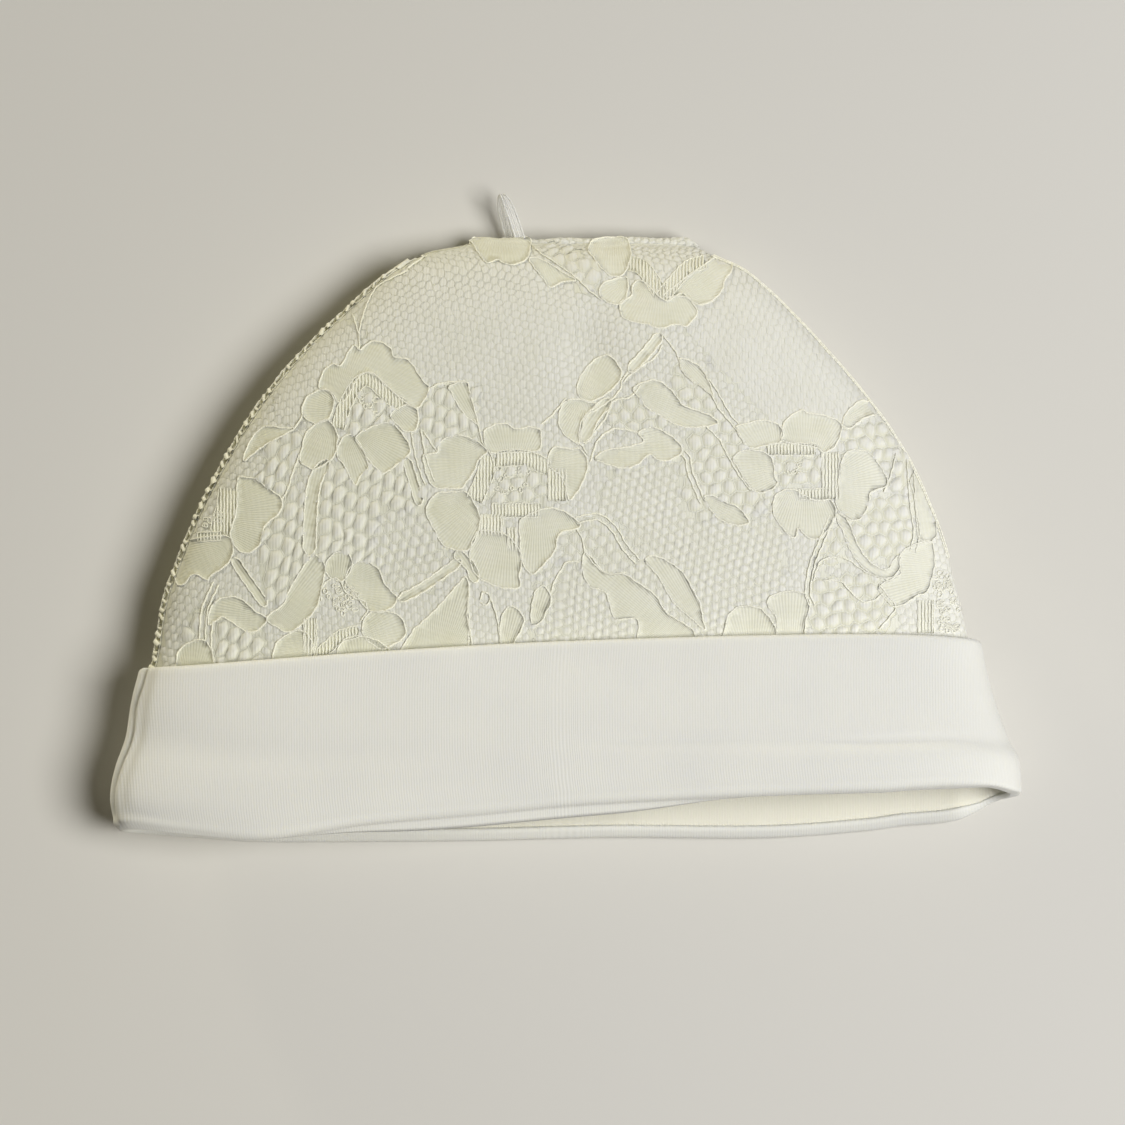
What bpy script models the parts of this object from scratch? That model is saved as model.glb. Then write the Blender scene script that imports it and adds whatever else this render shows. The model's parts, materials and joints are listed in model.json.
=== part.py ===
"""A baby's beanie of lace over jersey, lying flat on its back with its jersey cuff turned up.

The row frame: +Z up from the surface it lies on, +Y from the brim to the crown, the origin on
that surface under the middle of the cuff's back. Every layer is an offset of one reference
skin, the inside of the jersey lining, which skin_point works out from the tables below.
"""

import math

import bmesh
import bpy
from mathutils import Vector

MM = 0.001

# Sizes of the flat hat, over all its layers
HAT_WIDTH = 182.4 * MM
CROWN_HEIGHT = 113.4 * MM
CUFF_HEIGHT = 28.6 * MM
LOFT = 26.4 * MM

# Layers, from the inside out
LINING_WALL = 1.0 * MM
LACE_WALL = 1.0 * MM
CUFF_WALL = 1.8 * MM
LAYER_GAP = 0.3 * MM
SEAM_HEIGHT = 20.0 * MM

# The back lies on the surface: how far its flat reaches and where the origin is
BACK_FLATNESS = 1.08
FRONT_FULLNESS = 2.4
BACK_FULLNESS = 4.0
ORIGIN_HEIGHT = 17.0 * MM
BRIM_SLOPE = 6.2 * MM
FRONT_LEAN = 0.22

# The flap's top edge bows up in the middle of the front
FLAP_BOW = 2.0 * MM

# The crown's top fold is a ridge over the last section
RIDGE_HEIGHT = 0.8 * MM
RIDGE_SHARE = 0.45
RIDGE_TUCK = 0.03

# Pressed crease inside the cuff's left fold, and the soft roll at its right end
CREASE_DEPTH = 0.8 * MM
CREASE_INSET = 4.0 * MM
CREASE_SPREAD = 1.8 * MM
ROLL_DEPTH = 1.2 * MM
ROLL_TOP = 0.10
ROLL_SPREAD = 0.035

# Coarse net of the lace, cut through
NET_PITCH = 3.0 * MM
NET_GAP = 2.1 * MM
NET_SIDES = 6

# Hanging loop at the top of the crown
LOOP_WIDTH = 2.4 * MM
LOOP_THICKNESS = 1.0 * MM
LOOP_REACH = 8.2 * MM
LOOP_SPREAD = 3.8 * MM
LOOP_ACROSS = -0.42
LOOP_LEAN = -4.0 * MM
LOOP_SWELL = 2.0 * MM
LOOP_STATIONS = 22

COLUMNS = 56
FOLD_SHARE = 9.0 * MM
WALK_STEPS = 720
NORMAL_STEP = 0.03
RISE_STEP = 0.004
CREST = 0.93

LACE_IN = LINING_WALL + LAYER_GAP
LACE_OUT = LACE_IN + LACE_WALL
FLAP_IN = LACE_OUT + LAYER_GAP
FLAP_OUT = FLAP_IN + CUFF_WALL
SKIN_HEIGHT = CROWN_HEIGHT - LACE_OUT - RIDGE_HEIGHT
HALF_WIDTH = HAT_WIDTH / 2
CUFF_RISE = CUFF_HEIGHT / SKIN_HEIGHT
SEAM_RISE = SEAM_HEIGHT / SKIN_HEIGHT

# Sections of the skin from the brim to the crown's top fold. rise is a share of SKIN_HEIGHT,
# left and right are half widths as shares of HALF_WIDTH, fold and front are the heights of the
# side folds and of the front's middle as shares of LOFT, and slope is a share of BRIM_SLOPE.
SECTION_COLUMNS = ("rise", "left", "right", "fold", "front", "slope")
SECTIONS = (
    (0.000, 0.927, 0.924, 0.43, 0.80, 1.00),
    (0.041, 0.935, 0.922, 0.43, 0.82, 1.00),
    (0.087, 0.930, 0.908, 0.43, 0.83, 0.98),
    (0.107, 0.924, 0.900, 0.43, 0.83, 0.97),
    (0.143, 0.911, 0.886, 0.43, 0.83, 0.95),
    (0.209, 0.891, 0.866, 0.42, 0.83, 0.92),
    (0.282, 0.869, 0.852, 0.41, 0.83, 0.89),
    (0.378, 0.850, 0.827, 0.39, 0.84, 0.72),
    (0.449, 0.820, 0.808, 0.38, 0.84, 0.60),
    (0.521, 0.785, 0.778, 0.37, 0.83, 0.49),
    (0.592, 0.743, 0.743, 0.36, 0.82, 0.39),
    (0.664, 0.695, 0.695, 0.35, 0.80, 0.30),
    (0.735, 0.638, 0.635, 0.33, 0.77, 0.21),
    (0.807, 0.567, 0.566, 0.31, 0.72, 0.14),
    (0.878, 0.480, 0.491, 0.29, 0.64, 0.07),
    (0.950, 0.374, 0.402, 0.26, 0.51, 0.02),
    (0.984, 0.282, 0.310, 0.21, 0.34, 0.00),
    (1.000, 0.202, 0.280, 0.18, 0.22, 0.00),
)

# How high the back's skin is held above the surface by the layers under it, as shares of the
# cuff's and the lace's own thickness.
BACK_COLUMNS = ("rise", "cuff", "lace")
BACK_LIFT = (
    (0.00, 1.00, 0.00),
    (0.30, 1.00, 0.00),
    (0.46, 0.00, 1.00),
    (0.90, 0.00, 1.00),
    (0.96, 0.00, 1.20),
    (1.00, 0.00, 1.80),
)

# The brim's line away from a straight one, as shares of CUFF_HEIGHT: across is -1 at the left
# fold and 1 at the right one, and the front and the back part between them.
BRIM_COLUMNS = ("across", "front", "back")
BRIM_BOW = (
    (-1.00, 0.000, 0.000),
    (-0.90, -0.045, -0.030),
    (-0.70, -0.115, -0.085),
    (-0.45, -0.045, -0.110),
    (-0.20, -0.010, -0.130),
    (0.08, 0.030, -0.140),
    (0.50, 0.045, -0.185),
    (0.72, 0.055, -0.160),
    (0.88, 0.050, -0.100),
    (1.00, 0.000, 0.000),
)

# Soft dents of the crown's front: across and rise of the middle, then the half sizes as shares
# of HALF_WIDTH and SKIN_HEIGHT, and the depth as a share of LOFT.
DENT_COLUMNS = ("name", "across", "rise", "half_across", "half_rise", "depth")
DENTS = (
    ("gather_left", -0.05, 0.945, 0.090, 0.060, 0.035),
    ("gather_right", 0.27, 0.930, 0.100, 0.060, 0.045),
    ("crown_valley", 0.10, 0.800, 0.110, 0.110, 0.055),
    ("left_hollow", -0.45, 0.420, 0.160, 0.060, 0.035),
)

# Fields of coarse net between the lace's flowers, on the front: across and rise of the middle as
# shares of HALF_WIDTH and SKIN_HEIGHT, half lengths as shares of HALF_WIDTH, and the turn of the
# long axis in degrees.
FIELD_COLUMNS = ("name", "across", "rise", "half_long", "half_short", "turn")
NET_FIELDS = (
    ("left_centre", -0.44, 0.510, 0.105, 0.085, 75.0),
    ("left_upper", -0.27, 0.690, 0.075, 0.040, -60.0),
    ("left_edge", -0.66, 0.580, 0.070, 0.036, 60.0),
    ("left_strip", -0.63, 0.430, 0.075, 0.030, 75.0),
    ("left_lower", -0.71, 0.330, 0.070, 0.034, -60.0),
    ("middle_upper", 0.16, 0.680, 0.085, 0.036, 50.0),
    ("middle_right", 0.33, 0.560, 0.120, 0.036, -62.0),
    ("right_centre", 0.69, 0.550, 0.085, 0.042, -70.0),
    ("right_lower", 0.63, 0.350, 0.080, 0.040, 10.0),
)


def along_table(rows, column, at):
    """The value of a table's column at a place along its first one, on a curve that keeps between its rows."""
    places = [row[0] for row in rows]
    values = [row[column] for row in rows]
    if at <= places[0]:
        return values[0]
    if at >= places[-1]:
        return values[-1]
    step = next(i for i in range(len(places) - 1) if at <= places[i + 1])
    span = places[step + 1] - places[step]
    start, end = table_slope(places, values, step), table_slope(places, values, step + 1)
    t = (at - places[step]) / span
    return (
        values[step] * (1 + 2 * t) * (1 - t) ** 2
        + start * span * t * (1 - t) ** 2
        + values[step + 1] * t * t * (3 - 2 * t)
        + end * span * t * t * (t - 1)
    )


def table_slope(places, values, i):
    """The slope of a table's curve at row i: level where the values turn, so that it never overshoots."""
    if i in (0, len(places) - 1):
        return 0.0
    before = (values[i] - values[i - 1]) / (places[i] - places[i - 1])
    after = (values[i + 1] - values[i]) / (places[i + 1] - places[i])
    if before * after <= 0:
        return 0.0
    return 2 * before * after / (before + after)


def section(name, rise):
    return along_table(SECTIONS, SECTION_COLUMNS.index(name), rise)


def back_height(rise):
    """Height of the back's skin where it lies flat, over the layers under it."""
    under_cuff = along_table(BACK_LIFT, BACK_COLUMNS.index("cuff"), rise) * FLAP_OUT
    under_lace = along_table(BACK_LIFT, BACK_COLUMNS.index("lace"), rise) * LACE_OUT
    return under_cuff + under_lace


def dent_depth(across, rise):
    """How far the front sinks at a place of the crown."""
    depth = 0.0
    for _, dent_across, dent_rise, half_across, half_rise, share in DENTS:
        away = ((across - dent_across) / half_across) ** 2 + ((rise - dent_rise) / half_rise) ** 2
        depth += share * LOFT * math.exp(-away)
    return depth


def skin_point(rise, angle):
    """The skin at a share of its height and an angle round the section: 0 is the right fold, 90 degrees the front."""
    front = math.sin(angle) >= 0
    fullness = 2 / (FRONT_FULLNESS if front else BACK_FULLNESS)
    across = math.copysign(abs(math.cos(angle)) ** fullness, math.cos(angle))
    bulge = abs(math.sin(angle)) ** fullness
    left, right = section("left", rise) * HALF_WIDTH, section("right", rise) * HALF_WIDTH
    x = (right - left) / 2 + across * (right + left) / 2

    side = "front" if front else "back"
    bow = along_table(BRIM_BOW, BRIM_COLUMNS.index(side), across) * CUFF_HEIGHT
    fade = max(0.0, 1 - rise / CUFF_RISE)
    slope = section("slope", rise) * BRIM_SLOPE * across / 2
    y = rise * SKIN_HEIGHT - ORIGIN_HEIGHT + slope + bow * fade

    fold = section("fold", rise) * LOFT
    if not front:
        return Vector((x, y, fold - (fold - back_height(rise)) * min(1.0, bulge * BACK_FLATNESS)))
    swell = section("front", rise) * LOFT - fold
    lean = 1 + FRONT_LEAN * across * fade
    return Vector((x, y, fold + swell * bulge * lean - dent_depth(across, rise) * bulge))


def skin_frame(rise, angle):
    """A point of the skin, its outward normal and the direction towards the crown."""
    low, high = max(0.0, rise - RISE_STEP), min(1.0, rise + RISE_STEP)
    upward = skin_point(high, angle) - skin_point(low, angle)
    round_it = skin_point(rise, angle + NORMAL_STEP) - skin_point(rise, angle - NORMAL_STEP)
    return skin_point(rise, angle), round_it.cross(upward).normalized() * -1, upward.normalized()


def layer_point(height, angle, out):
    """A point at a height over the brim's line and at a distance outside the skin.

    Below the brim's line it runs straight on, and at the crown's top fold the distance goes upward too.
    """
    rise = max(0.0, height) / SKIN_HEIGHT
    point, normal, upward = skin_frame(rise, angle)
    crest = min(1.0, max(0.0, (rise - CREST) / (1 - CREST)))
    return point + normal * out + upward * min(0.0, height) + Vector((0, out * crest, 0))


def walked_angles(start, count):
    """Angles over half a round, evenly apart along the skin, and closer where it bends."""
    angles = [start + math.pi * i / WALK_STEPS for i in range(WALK_STEPS + 1)]
    points = [skin_point(CUFF_RISE, angle) for angle in angles]
    walked = [0.0]
    heading = None
    for before, after in zip(points, points[1:]):
        stride = Vector((after.x - before.x, after.z - before.z))
        bend = stride.angle(heading, 0.0) if heading else 0.0
        heading = stride
        walked.append(walked[-1] + stride.length + FOLD_SHARE * bend)
    picked = []
    for k in range(count):
        goal = walked[-1] * k / count
        picked.append(angles[next(i for i, length in enumerate(walked) if length >= goal)])
    return picked


def column_angles():
    """Angles of the columns, as many over the front as over the back."""
    return walked_angles(0.0, COLUMNS // 2) + walked_angles(math.pi, COLUMNS // 2)


ANGLES = column_angles()


def loop_at(height, out):
    """One closed ring of points round the hat."""
    return [layer_point(height, angle, out) for angle in ANGLES]


def flap_relief(height, angle):
    """The outside of the turned-up flap, with the pressed crease at its left and the roll at its right."""
    front = max(0.0, math.sin(angle))
    across = math.copysign(abs(math.cos(angle)) ** (2 / FRONT_FULLNESS), math.cos(angle))
    inset = (1 + across) * HALF_WIDTH
    crease = CREASE_DEPTH * math.exp(-(((inset - CREASE_INSET) / CREASE_SPREAD) ** 2))
    rise = height / SKIN_HEIGHT
    below = 1 / (1 + math.exp((rise - ROLL_TOP) / (ROLL_SPREAD / 4)))
    off_the_back = min(1.0, max(0.0, 1 + 3 * math.sin(angle)))
    roll = ROLL_DEPTH * max(0.0, across) ** 2 * below * off_the_back
    return FLAP_OUT - crease * min(1.0, front * 4) + roll


def new_material(name, colour, roughness):
    material = bpy.data.materials.new(name)
    material.use_nodes = True
    shader = material.node_tree.nodes["Principled BSDF"]
    shader.inputs["Base Color"].default_value = (*colour, 1)
    shader.inputs["Roughness"].default_value = roughness
    shader.inputs["Metallic"].default_value = 0
    return material


def add_object(name, mesh_maker, material, parent):
    """A named object from a bmesh, shaded smooth and parented to the hat's empty."""
    mesh = bpy.data.meshes.new(name)
    bmesh.ops.recalc_face_normals(mesh_maker, faces=mesh_maker.faces)
    mesh_maker.to_mesh(mesh)
    mesh_maker.free()
    mesh.materials.append(material)
    mesh.shade_smooth()
    mesh.set_sharp_from_angle(angle=math.radians(50))
    obj = bpy.data.objects.new(name, mesh)
    bpy.context.scene.collection.objects.link(obj)
    obj.parent = parent
    return obj


def bridge(maker, first, second):
    """Quads between two rings of as many vertices."""
    count = len(first)
    for i in range(count):
        after = (i + 1) % count
        maker.faces.new((first[i], first[after], second[after], second[i]))


def zip_closed(maker, ring):
    """Closes a flattened ring by joining its front to its back, pair by pair."""
    count = len(ring)
    maker.faces.new((ring[0], ring[1], ring[-1]))
    for i in range(1, count // 2 - 1):
        maker.faces.new((ring[i], ring[i + 1], ring[count - i - 1], ring[count - i]))
    middle = count // 2
    maker.faces.new((ring[middle - 1], ring[middle], ring[middle + 1]))


def crown_heights():
    """Heights of a crown shell's rings: the seam, then the sections above it, halved where they are far apart."""
    rises = [row[0] for row in SECTIONS if row[0] > SEAM_RISE + ROLL_SPREAD]
    return [SEAM_HEIGHT, *(rise * SKIN_HEIGHT for rise in rises)]


def ridge_loop(out):
    """The ring that rounds the crown's top fold off: the last one, drawn in towards its middle."""
    last = loop_at(SKIN_HEIGHT, out)
    ridge = []
    for i, angle in enumerate(ANGLES):
        point = last[i].lerp((last[i] + last[-i]) / 2, RIDGE_SHARE)
        point.x *= 1 - RIDGE_TUCK
        point.y += RIDGE_HEIGHT * min(1.0, 3 * abs(math.sin(angle)))
        ridge.append(point)
    return ridge


def crown_shell(name, inside, outside, material, parent):
    """A hollow crown between two distances from the skin, open at the seam."""
    maker = bmesh.new()
    heights = crown_heights()
    layers = [ridge_loop(inside)]
    layers += [loop_at(height, inside) for height in reversed(heights)]
    layers += [loop_at(height, outside) for height in heights]
    layers.append(ridge_loop(outside))
    rings = [[maker.verts.new(point) for point in layer] for layer in layers]
    for first, second in zip(rings, rings[1:]):
        bridge(maker, first, second)
    zip_closed(maker, rings[0])
    zip_closed(maker, rings[-1])
    return add_object(name, maker, material, parent)


def cuff_profile():
    """The cuff's section as (height, out): up inside the hat's skin, round the brim and up the flap, then back."""
    wall = CUFF_WALL
    fold_radius = FLAP_OUT / 2
    inside_radius = (FLAP_IN - wall) / 2
    inner_top = SEAM_HEIGHT - LAYER_GAP
    profile = [(inner_top, 0.0), (inner_top * 0.6, 0.0), (inner_top * 0.25, 0.0)]
    for step in range(5):
        turn = math.pi * step / 4
        profile.append((-fold_radius * math.sin(turn), fold_radius * (1 - math.cos(turn))))
    profile += [(share * SKIN_HEIGHT, flap_relief) for share in (0.041, 0.087, 0.107, 0.143, 0.209)]
    profile += [(CUFF_HEIGHT - wall / 3, flap_relief), (CUFF_HEIGHT, FLAP_IN + wall / 2)]
    profile += [(CUFF_HEIGHT - wall / 3, FLAP_IN), (CUFF_HEIGHT * 0.6, FLAP_IN), (CUFF_HEIGHT * 0.3, FLAP_IN)]
    profile += [(0.0, FLAP_IN), (-inside_radius, wall + inside_radius), (0.0, wall)]
    profile += [(inner_top * 0.5, wall), (inner_top, wall)]
    return profile


def cuff_loop(height, out):
    """One ring of the cuff. On the flap the heights are stretched with its bowed top edge."""
    bow = FLAP_BOW / CUFF_HEIGHT if height > 0 and (callable(out) or out >= FLAP_IN) else 0.0
    points = []
    for angle in ANGLES:
        rightward = min(1.0, 1 + math.cos(angle))
        place = height * (1 + bow * max(0.0, math.sin(angle)) * rightward)
        points.append(layer_point(place, angle, out(place, angle) if callable(out) else out))
    return points


def cuff(material, parent):
    """The jersey band turned up: one wall inside, a round fold at the brim, and the flap outside the lace."""
    maker = bmesh.new()
    rings = [[maker.verts.new(point) for point in cuff_loop(*place)] for place in cuff_profile()]
    for first, second in zip(rings, rings[1:] + rings[:1]):
        bridge(maker, first, second)
    return add_object("cuff", maker, material, parent)


def in_net_field(across, rise):
    for _, middle_across, middle_rise, half_long, half_short, turn in NET_FIELDS:
        along_x = (across - middle_across) * HALF_WIDTH
        along_y = (rise - middle_rise) * SKIN_HEIGHT
        cosine, sine = math.cos(math.radians(turn)), math.sin(math.radians(turn))
        long_way = (along_x * cosine + along_y * sine) / (half_long * HALF_WIDTH)
        short_way = (along_y * cosine - along_x * sine) / (half_short * HALF_WIDTH)
        if long_way**2 + short_way**2 < 1:
            return True
    return False


def net_gaps():
    """Places (rise, angle) of the coarse net's gaps: a staggered lattice kept inside the fields."""
    places = []
    row_step = NET_PITCH * math.sqrt(3) / 2
    for row in range(int(CUFF_HEIGHT / row_step) + 2, int(SKIN_HEIGHT / row_step)):
        rise = row * row_step / SKIN_HEIGHT
        left, right = section("left", rise) * HALF_WIDTH, section("right", rise) * HALF_WIDTH
        shift = NET_PITCH / 2 if row % 2 else 0.0
        for column in range(-int(left / NET_PITCH), int(right / NET_PITCH) + 1):
            x = column * NET_PITCH + shift
            across = (x - (right - left) / 2) / ((right + left) / 2)
            if abs(across) < 1 and in_net_field(x / HALF_WIDTH, rise):
                cosine = math.copysign(abs(across) ** (FRONT_FULLNESS / 2), across)
                places.append((rise, math.acos(cosine)))
    return places


def gap_cutters():
    """One object of upright prisms along the skin's normals, which cuts the net's gaps."""
    maker = bmesh.new()
    inner, outer = LACE_IN - LAYER_GAP, LACE_OUT + LAYER_GAP
    for rise, angle in net_gaps():
        point, normal, upward = skin_frame(rise, angle)
        sideways = normal.cross(upward)
        upright = sideways.cross(normal)
        ends = []
        for out in (inner, outer):
            turns = [2 * math.pi * (side + 0.5) / NET_SIDES for side in range(NET_SIDES)]
            ends.append(
                [
                    maker.verts.new(
                        point
                        + normal * out
                        + (sideways * math.cos(turn) + upright * math.sin(turn)) * NET_GAP / 2
                    )
                    for turn in turns
                ]
            )
        bridge(maker, ends[0], ends[1])
        maker.faces.new(ends[0])
        maker.faces.new(ends[1])
    return maker


def cut_net(lace, material, parent):
    cutter = add_object("net_cutter", gap_cutters(), material, parent)
    cutter.hide_render = True
    cutter.display_type = "WIRE"
    modifier = lace.modifiers.new("net", "BOOLEAN")
    modifier.operation = "DIFFERENCE"
    modifier.object = cutter


def loop_line(share):
    """The middle of the hanging ribbon: out of the crown's top fold, round, and back in lower down."""
    top = layer_point(SKIN_HEIGHT, math.acos(LOOP_ACROSS), LACE_OUT)
    low = layer_point(SKIN_HEIGHT, -math.acos(LOOP_ACROSS), LACE_OUT)
    base = (top + low) / 2
    base.y = max(top.y, low.y) + RIDGE_HEIGHT + LAYER_GAP
    turn = math.pi * share
    reach = Vector((LOOP_LEAN, LOOP_REACH, 0)) * math.sin(turn)
    spread = Vector((0.5, 0, 1)) * LOOP_SPREAD / 2 * math.cos(turn)
    swell = Vector((0.5, 0, 0.5)) * LOOP_SWELL * math.sin(2 * turn)
    return base + reach + spread + swell


def hang_loop(material, parent):
    """A narrow ribbon swept along the loop's line, its width lying across the crown's top."""
    maker = bmesh.new()
    rings = []
    corner = LOOP_THICKNESS / 4
    half_width, half_thick = LOOP_WIDTH / 2, LOOP_THICKNESS / 2
    outline = (
        (half_width, half_thick - corner),
        (half_width - corner, half_thick),
        (corner - half_width, half_thick),
        (-half_width, half_thick - corner),
        (-half_width, corner - half_thick),
        (corner - half_width, -half_thick),
        (half_width - corner, -half_thick),
        (half_width, corner - half_thick),
    )
    step = 0.5 / LOOP_STATIONS
    for station in range(LOOP_STATIONS + 1):
        share = station / LOOP_STATIONS
        ahead = (loop_line(share + step) - loop_line(share - step)).normalized()
        across = Vector((1, 0, 0)) - ahead * ahead.x
        across.normalize()
        facing = ahead.cross(across)
        middle = loop_line(share)
        rings.append([maker.verts.new(middle + across * u + facing * v) for u, v in outline])
    for first, second in zip(rings, rings[1:]):
        bridge(maker, first, second)
    maker.faces.new(rings[0])
    maker.faces.new(rings[-1])
    return add_object("hang_loop", maker, material, parent)


def main():
    for obj in list(bpy.data.objects):
        bpy.data.objects.remove(obj)
    hat = bpy.data.objects.new("beanie", None)
    bpy.context.scene.collection.objects.link(hat)
    jersey = new_material("cuff_jersey", (0.78, 0.77, 0.70), 0.85)
    lining_jersey = new_material("lining_jersey", (0.80, 0.80, 0.74), 0.88)
    lace_thread = new_material("lace_thread", (0.72, 0.71, 0.58), 0.70)
    ribbon = new_material("loop_ribbon", (0.80, 0.80, 0.76), 0.55)

    cuff(jersey, hat)
    crown_shell("lining", 0.0, LINING_WALL, lining_jersey, hat)
    lace = crown_shell("lace_crown", LACE_IN, LACE_OUT, lace_thread, hat)
    cut_net(lace, lace_thread, hat)
    hang_loop(ribbon, hat)


main()
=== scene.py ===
"""The looks of a baby's beanie of floral lace over jersey, lying flat on its back.

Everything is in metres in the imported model's frame. The jersey and the lace are laid on a reference
skin like the solids', fitted a little closer to the camera's view. The lace's flowers, nets and
cords are charted as the front is seen from the camera, and the back repeats them mirrored.
"""

import json
import math

import bpy
import numpy as np
from mathutils import Matrix, Vector
from mathutils.geometry import delaunay_2d_cdt

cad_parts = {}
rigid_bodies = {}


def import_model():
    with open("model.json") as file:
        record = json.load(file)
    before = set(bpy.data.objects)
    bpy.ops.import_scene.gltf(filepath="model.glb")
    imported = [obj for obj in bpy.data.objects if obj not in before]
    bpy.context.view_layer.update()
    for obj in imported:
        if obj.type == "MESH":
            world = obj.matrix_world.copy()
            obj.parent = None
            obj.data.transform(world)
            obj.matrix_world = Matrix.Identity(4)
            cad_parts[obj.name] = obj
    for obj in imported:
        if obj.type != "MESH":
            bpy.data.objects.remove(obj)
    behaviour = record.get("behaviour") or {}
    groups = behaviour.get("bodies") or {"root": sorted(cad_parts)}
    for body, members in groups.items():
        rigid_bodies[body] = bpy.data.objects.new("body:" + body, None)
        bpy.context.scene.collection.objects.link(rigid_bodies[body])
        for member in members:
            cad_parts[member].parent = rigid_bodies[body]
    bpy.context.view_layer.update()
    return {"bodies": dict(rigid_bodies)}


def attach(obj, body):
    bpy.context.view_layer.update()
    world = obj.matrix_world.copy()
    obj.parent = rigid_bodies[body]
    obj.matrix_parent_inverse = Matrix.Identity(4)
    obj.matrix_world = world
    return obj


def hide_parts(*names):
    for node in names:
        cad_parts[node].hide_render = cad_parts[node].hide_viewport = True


MM = 0.001

# Sizes of the flat hat and its layers, the solids' own apart from the front's fullness and the roll
HAT_WIDTH = 182.4 * MM
CROWN_HEIGHT = 113.4 * MM
CUFF_HEIGHT = 28.6 * MM
LOFT = 26.4 * MM
LINING_WALL = 1.0 * MM
LACE_WALL = 1.0 * MM
CUFF_WALL = 1.8 * MM
LAYER_GAP = 0.3 * MM
SEAM_HEIGHT = 20.0 * MM
BACK_FLATNESS = 1.08
FRONT_FULLNESS = 2.8
BACK_FULLNESS = 4.0
ORIGIN_HEIGHT = 17.0 * MM
BRIM_SLOPE = 6.2 * MM
FRONT_LEAN = 0.22
FLAP_BOW = 2.0 * MM
RIDGE_HEIGHT = 0.8 * MM
ROLL_DEPTH = 1.2 * MM
ROLL_TOP = 0.059
ROLL_SPREAD = 0.024
NORMAL_STEP = 0.03
RISE_STEP = 0.004
CREST = 0.93

LACE_IN = LINING_WALL + LAYER_GAP
LACE_OUT = LACE_IN + LACE_WALL
FLAP_IN = LACE_OUT + LAYER_GAP
FLAP_OUT = FLAP_IN + CUFF_WALL
SKIN_HEIGHT = CROWN_HEIGHT - LACE_OUT - RIDGE_HEIGHT
HALF_WIDTH = HAT_WIDTH / 2
CUFF_RISE = CUFF_HEIGHT / SKIN_HEIGHT

# Sections of the skin from the brim to the crown's top fold: shares of SKIN_HEIGHT, HALF_WIDTH,
# LOFT and BRIM_SLOPE
SECTION_COLUMNS = ("rise", "left", "right", "fold", "front", "slope")
SECTIONS = (
    (0.000, 0.927, 0.924, 0.43, 0.80, 1.00),
    (0.041, 0.935, 0.922, 0.43, 0.82, 1.00),
    (0.087, 0.930, 0.908, 0.43, 0.83, 0.98),
    (0.107, 0.924, 0.900, 0.43, 0.83, 0.97),
    (0.143, 0.911, 0.886, 0.43, 0.83, 0.95),
    (0.209, 0.891, 0.866, 0.42, 0.83, 0.92),
    (0.282, 0.869, 0.852, 0.41, 0.83, 0.89),
    (0.378, 0.850, 0.827, 0.39, 0.84, 0.72),
    (0.449, 0.820, 0.808, 0.38, 0.84, 0.60),
    (0.521, 0.785, 0.778, 0.37, 0.83, 0.49),
    (0.592, 0.743, 0.743, 0.36, 0.82, 0.39),
    (0.664, 0.695, 0.695, 0.35, 0.80, 0.30),
    (0.735, 0.638, 0.635, 0.33, 0.78, 0.21),
    (0.807, 0.567, 0.566, 0.31, 0.745, 0.14),
    (0.878, 0.480, 0.491, 0.29, 0.69, 0.07),
    (0.950, 0.382, 0.402, 0.26, 0.565, 0.02),
    (0.984, 0.296, 0.310, 0.21, 0.395, 0.00),
    (1.000, 0.206, 0.280, 0.18, 0.25, 0.00),
)
# How much of the layers under it lifts the back's skin off the floor
BACK_COLUMNS = ("rise", "cuff", "lace")
BACK_LIFT = (
    (0.00, 1.00, 0.00),
    (0.30, 1.00, 0.00),
    (0.46, 0.00, 1.00),
    (0.90, 0.00, 1.00),
    (0.96, 0.00, 1.20),
    (1.00, 0.00, 1.80),
)
# How far the brim bows towards the crown, in shares of CUFF_HEIGHT
BRIM_COLUMNS = ("across", "front", "back")
BRIM_BOW = (
    (-1.00, 0.000, 0.000),
    (-0.90, -0.045, -0.030),
    (-0.70, -0.115, -0.085),
    (-0.45, -0.045, -0.110),
    (-0.20, -0.010, -0.130),
    (0.08, 0.030, -0.140),
    (0.50, 0.042, -0.185),
    (0.72, 0.038, -0.160),
    (0.80, 0.048, -0.136),
    (0.88, 0.054, -0.128),
    (0.96, 0.018, -0.088),
    (1.00, -0.016, -0.026),
)
# The front's dents: the middle across and up, the half sizes, and the depth as a share of LOFT
DENTS = (
    ("gather_left", -0.05, 0.945, 0.090, 0.060, 0.035),
    ("gather_right", 0.27, 0.930, 0.100, 0.060, 0.045),
    ("crown_valley", 0.10, 0.800, 0.110, 0.110, 0.055),
    ("left_hollow", -0.45, 0.420, 0.160, 0.060, 0.035),
)

# The camera: its tilt from straight above, its distance, and the middle of its view in millimetres
# from the frame's origin. The lace's chart is what it sees, in steps of 0.2 mm from the top left.
VIEW_TILT = math.radians(8.0)
VIEW_DISTANCE = 900.0 * MM
CHART_STEP = 0.2 * MM
CHART_MIDDLE = 562.5
CHART_ORIGIN = (565.0, 724.0)
AIM_ACROSS = (CHART_MIDDLE - CHART_ORIGIN[0]) * CHART_STEP
AIM_UP = (CHART_ORIGIN[1] - CHART_MIDDLE) * CHART_STEP
SENSOR = 36.0


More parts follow.
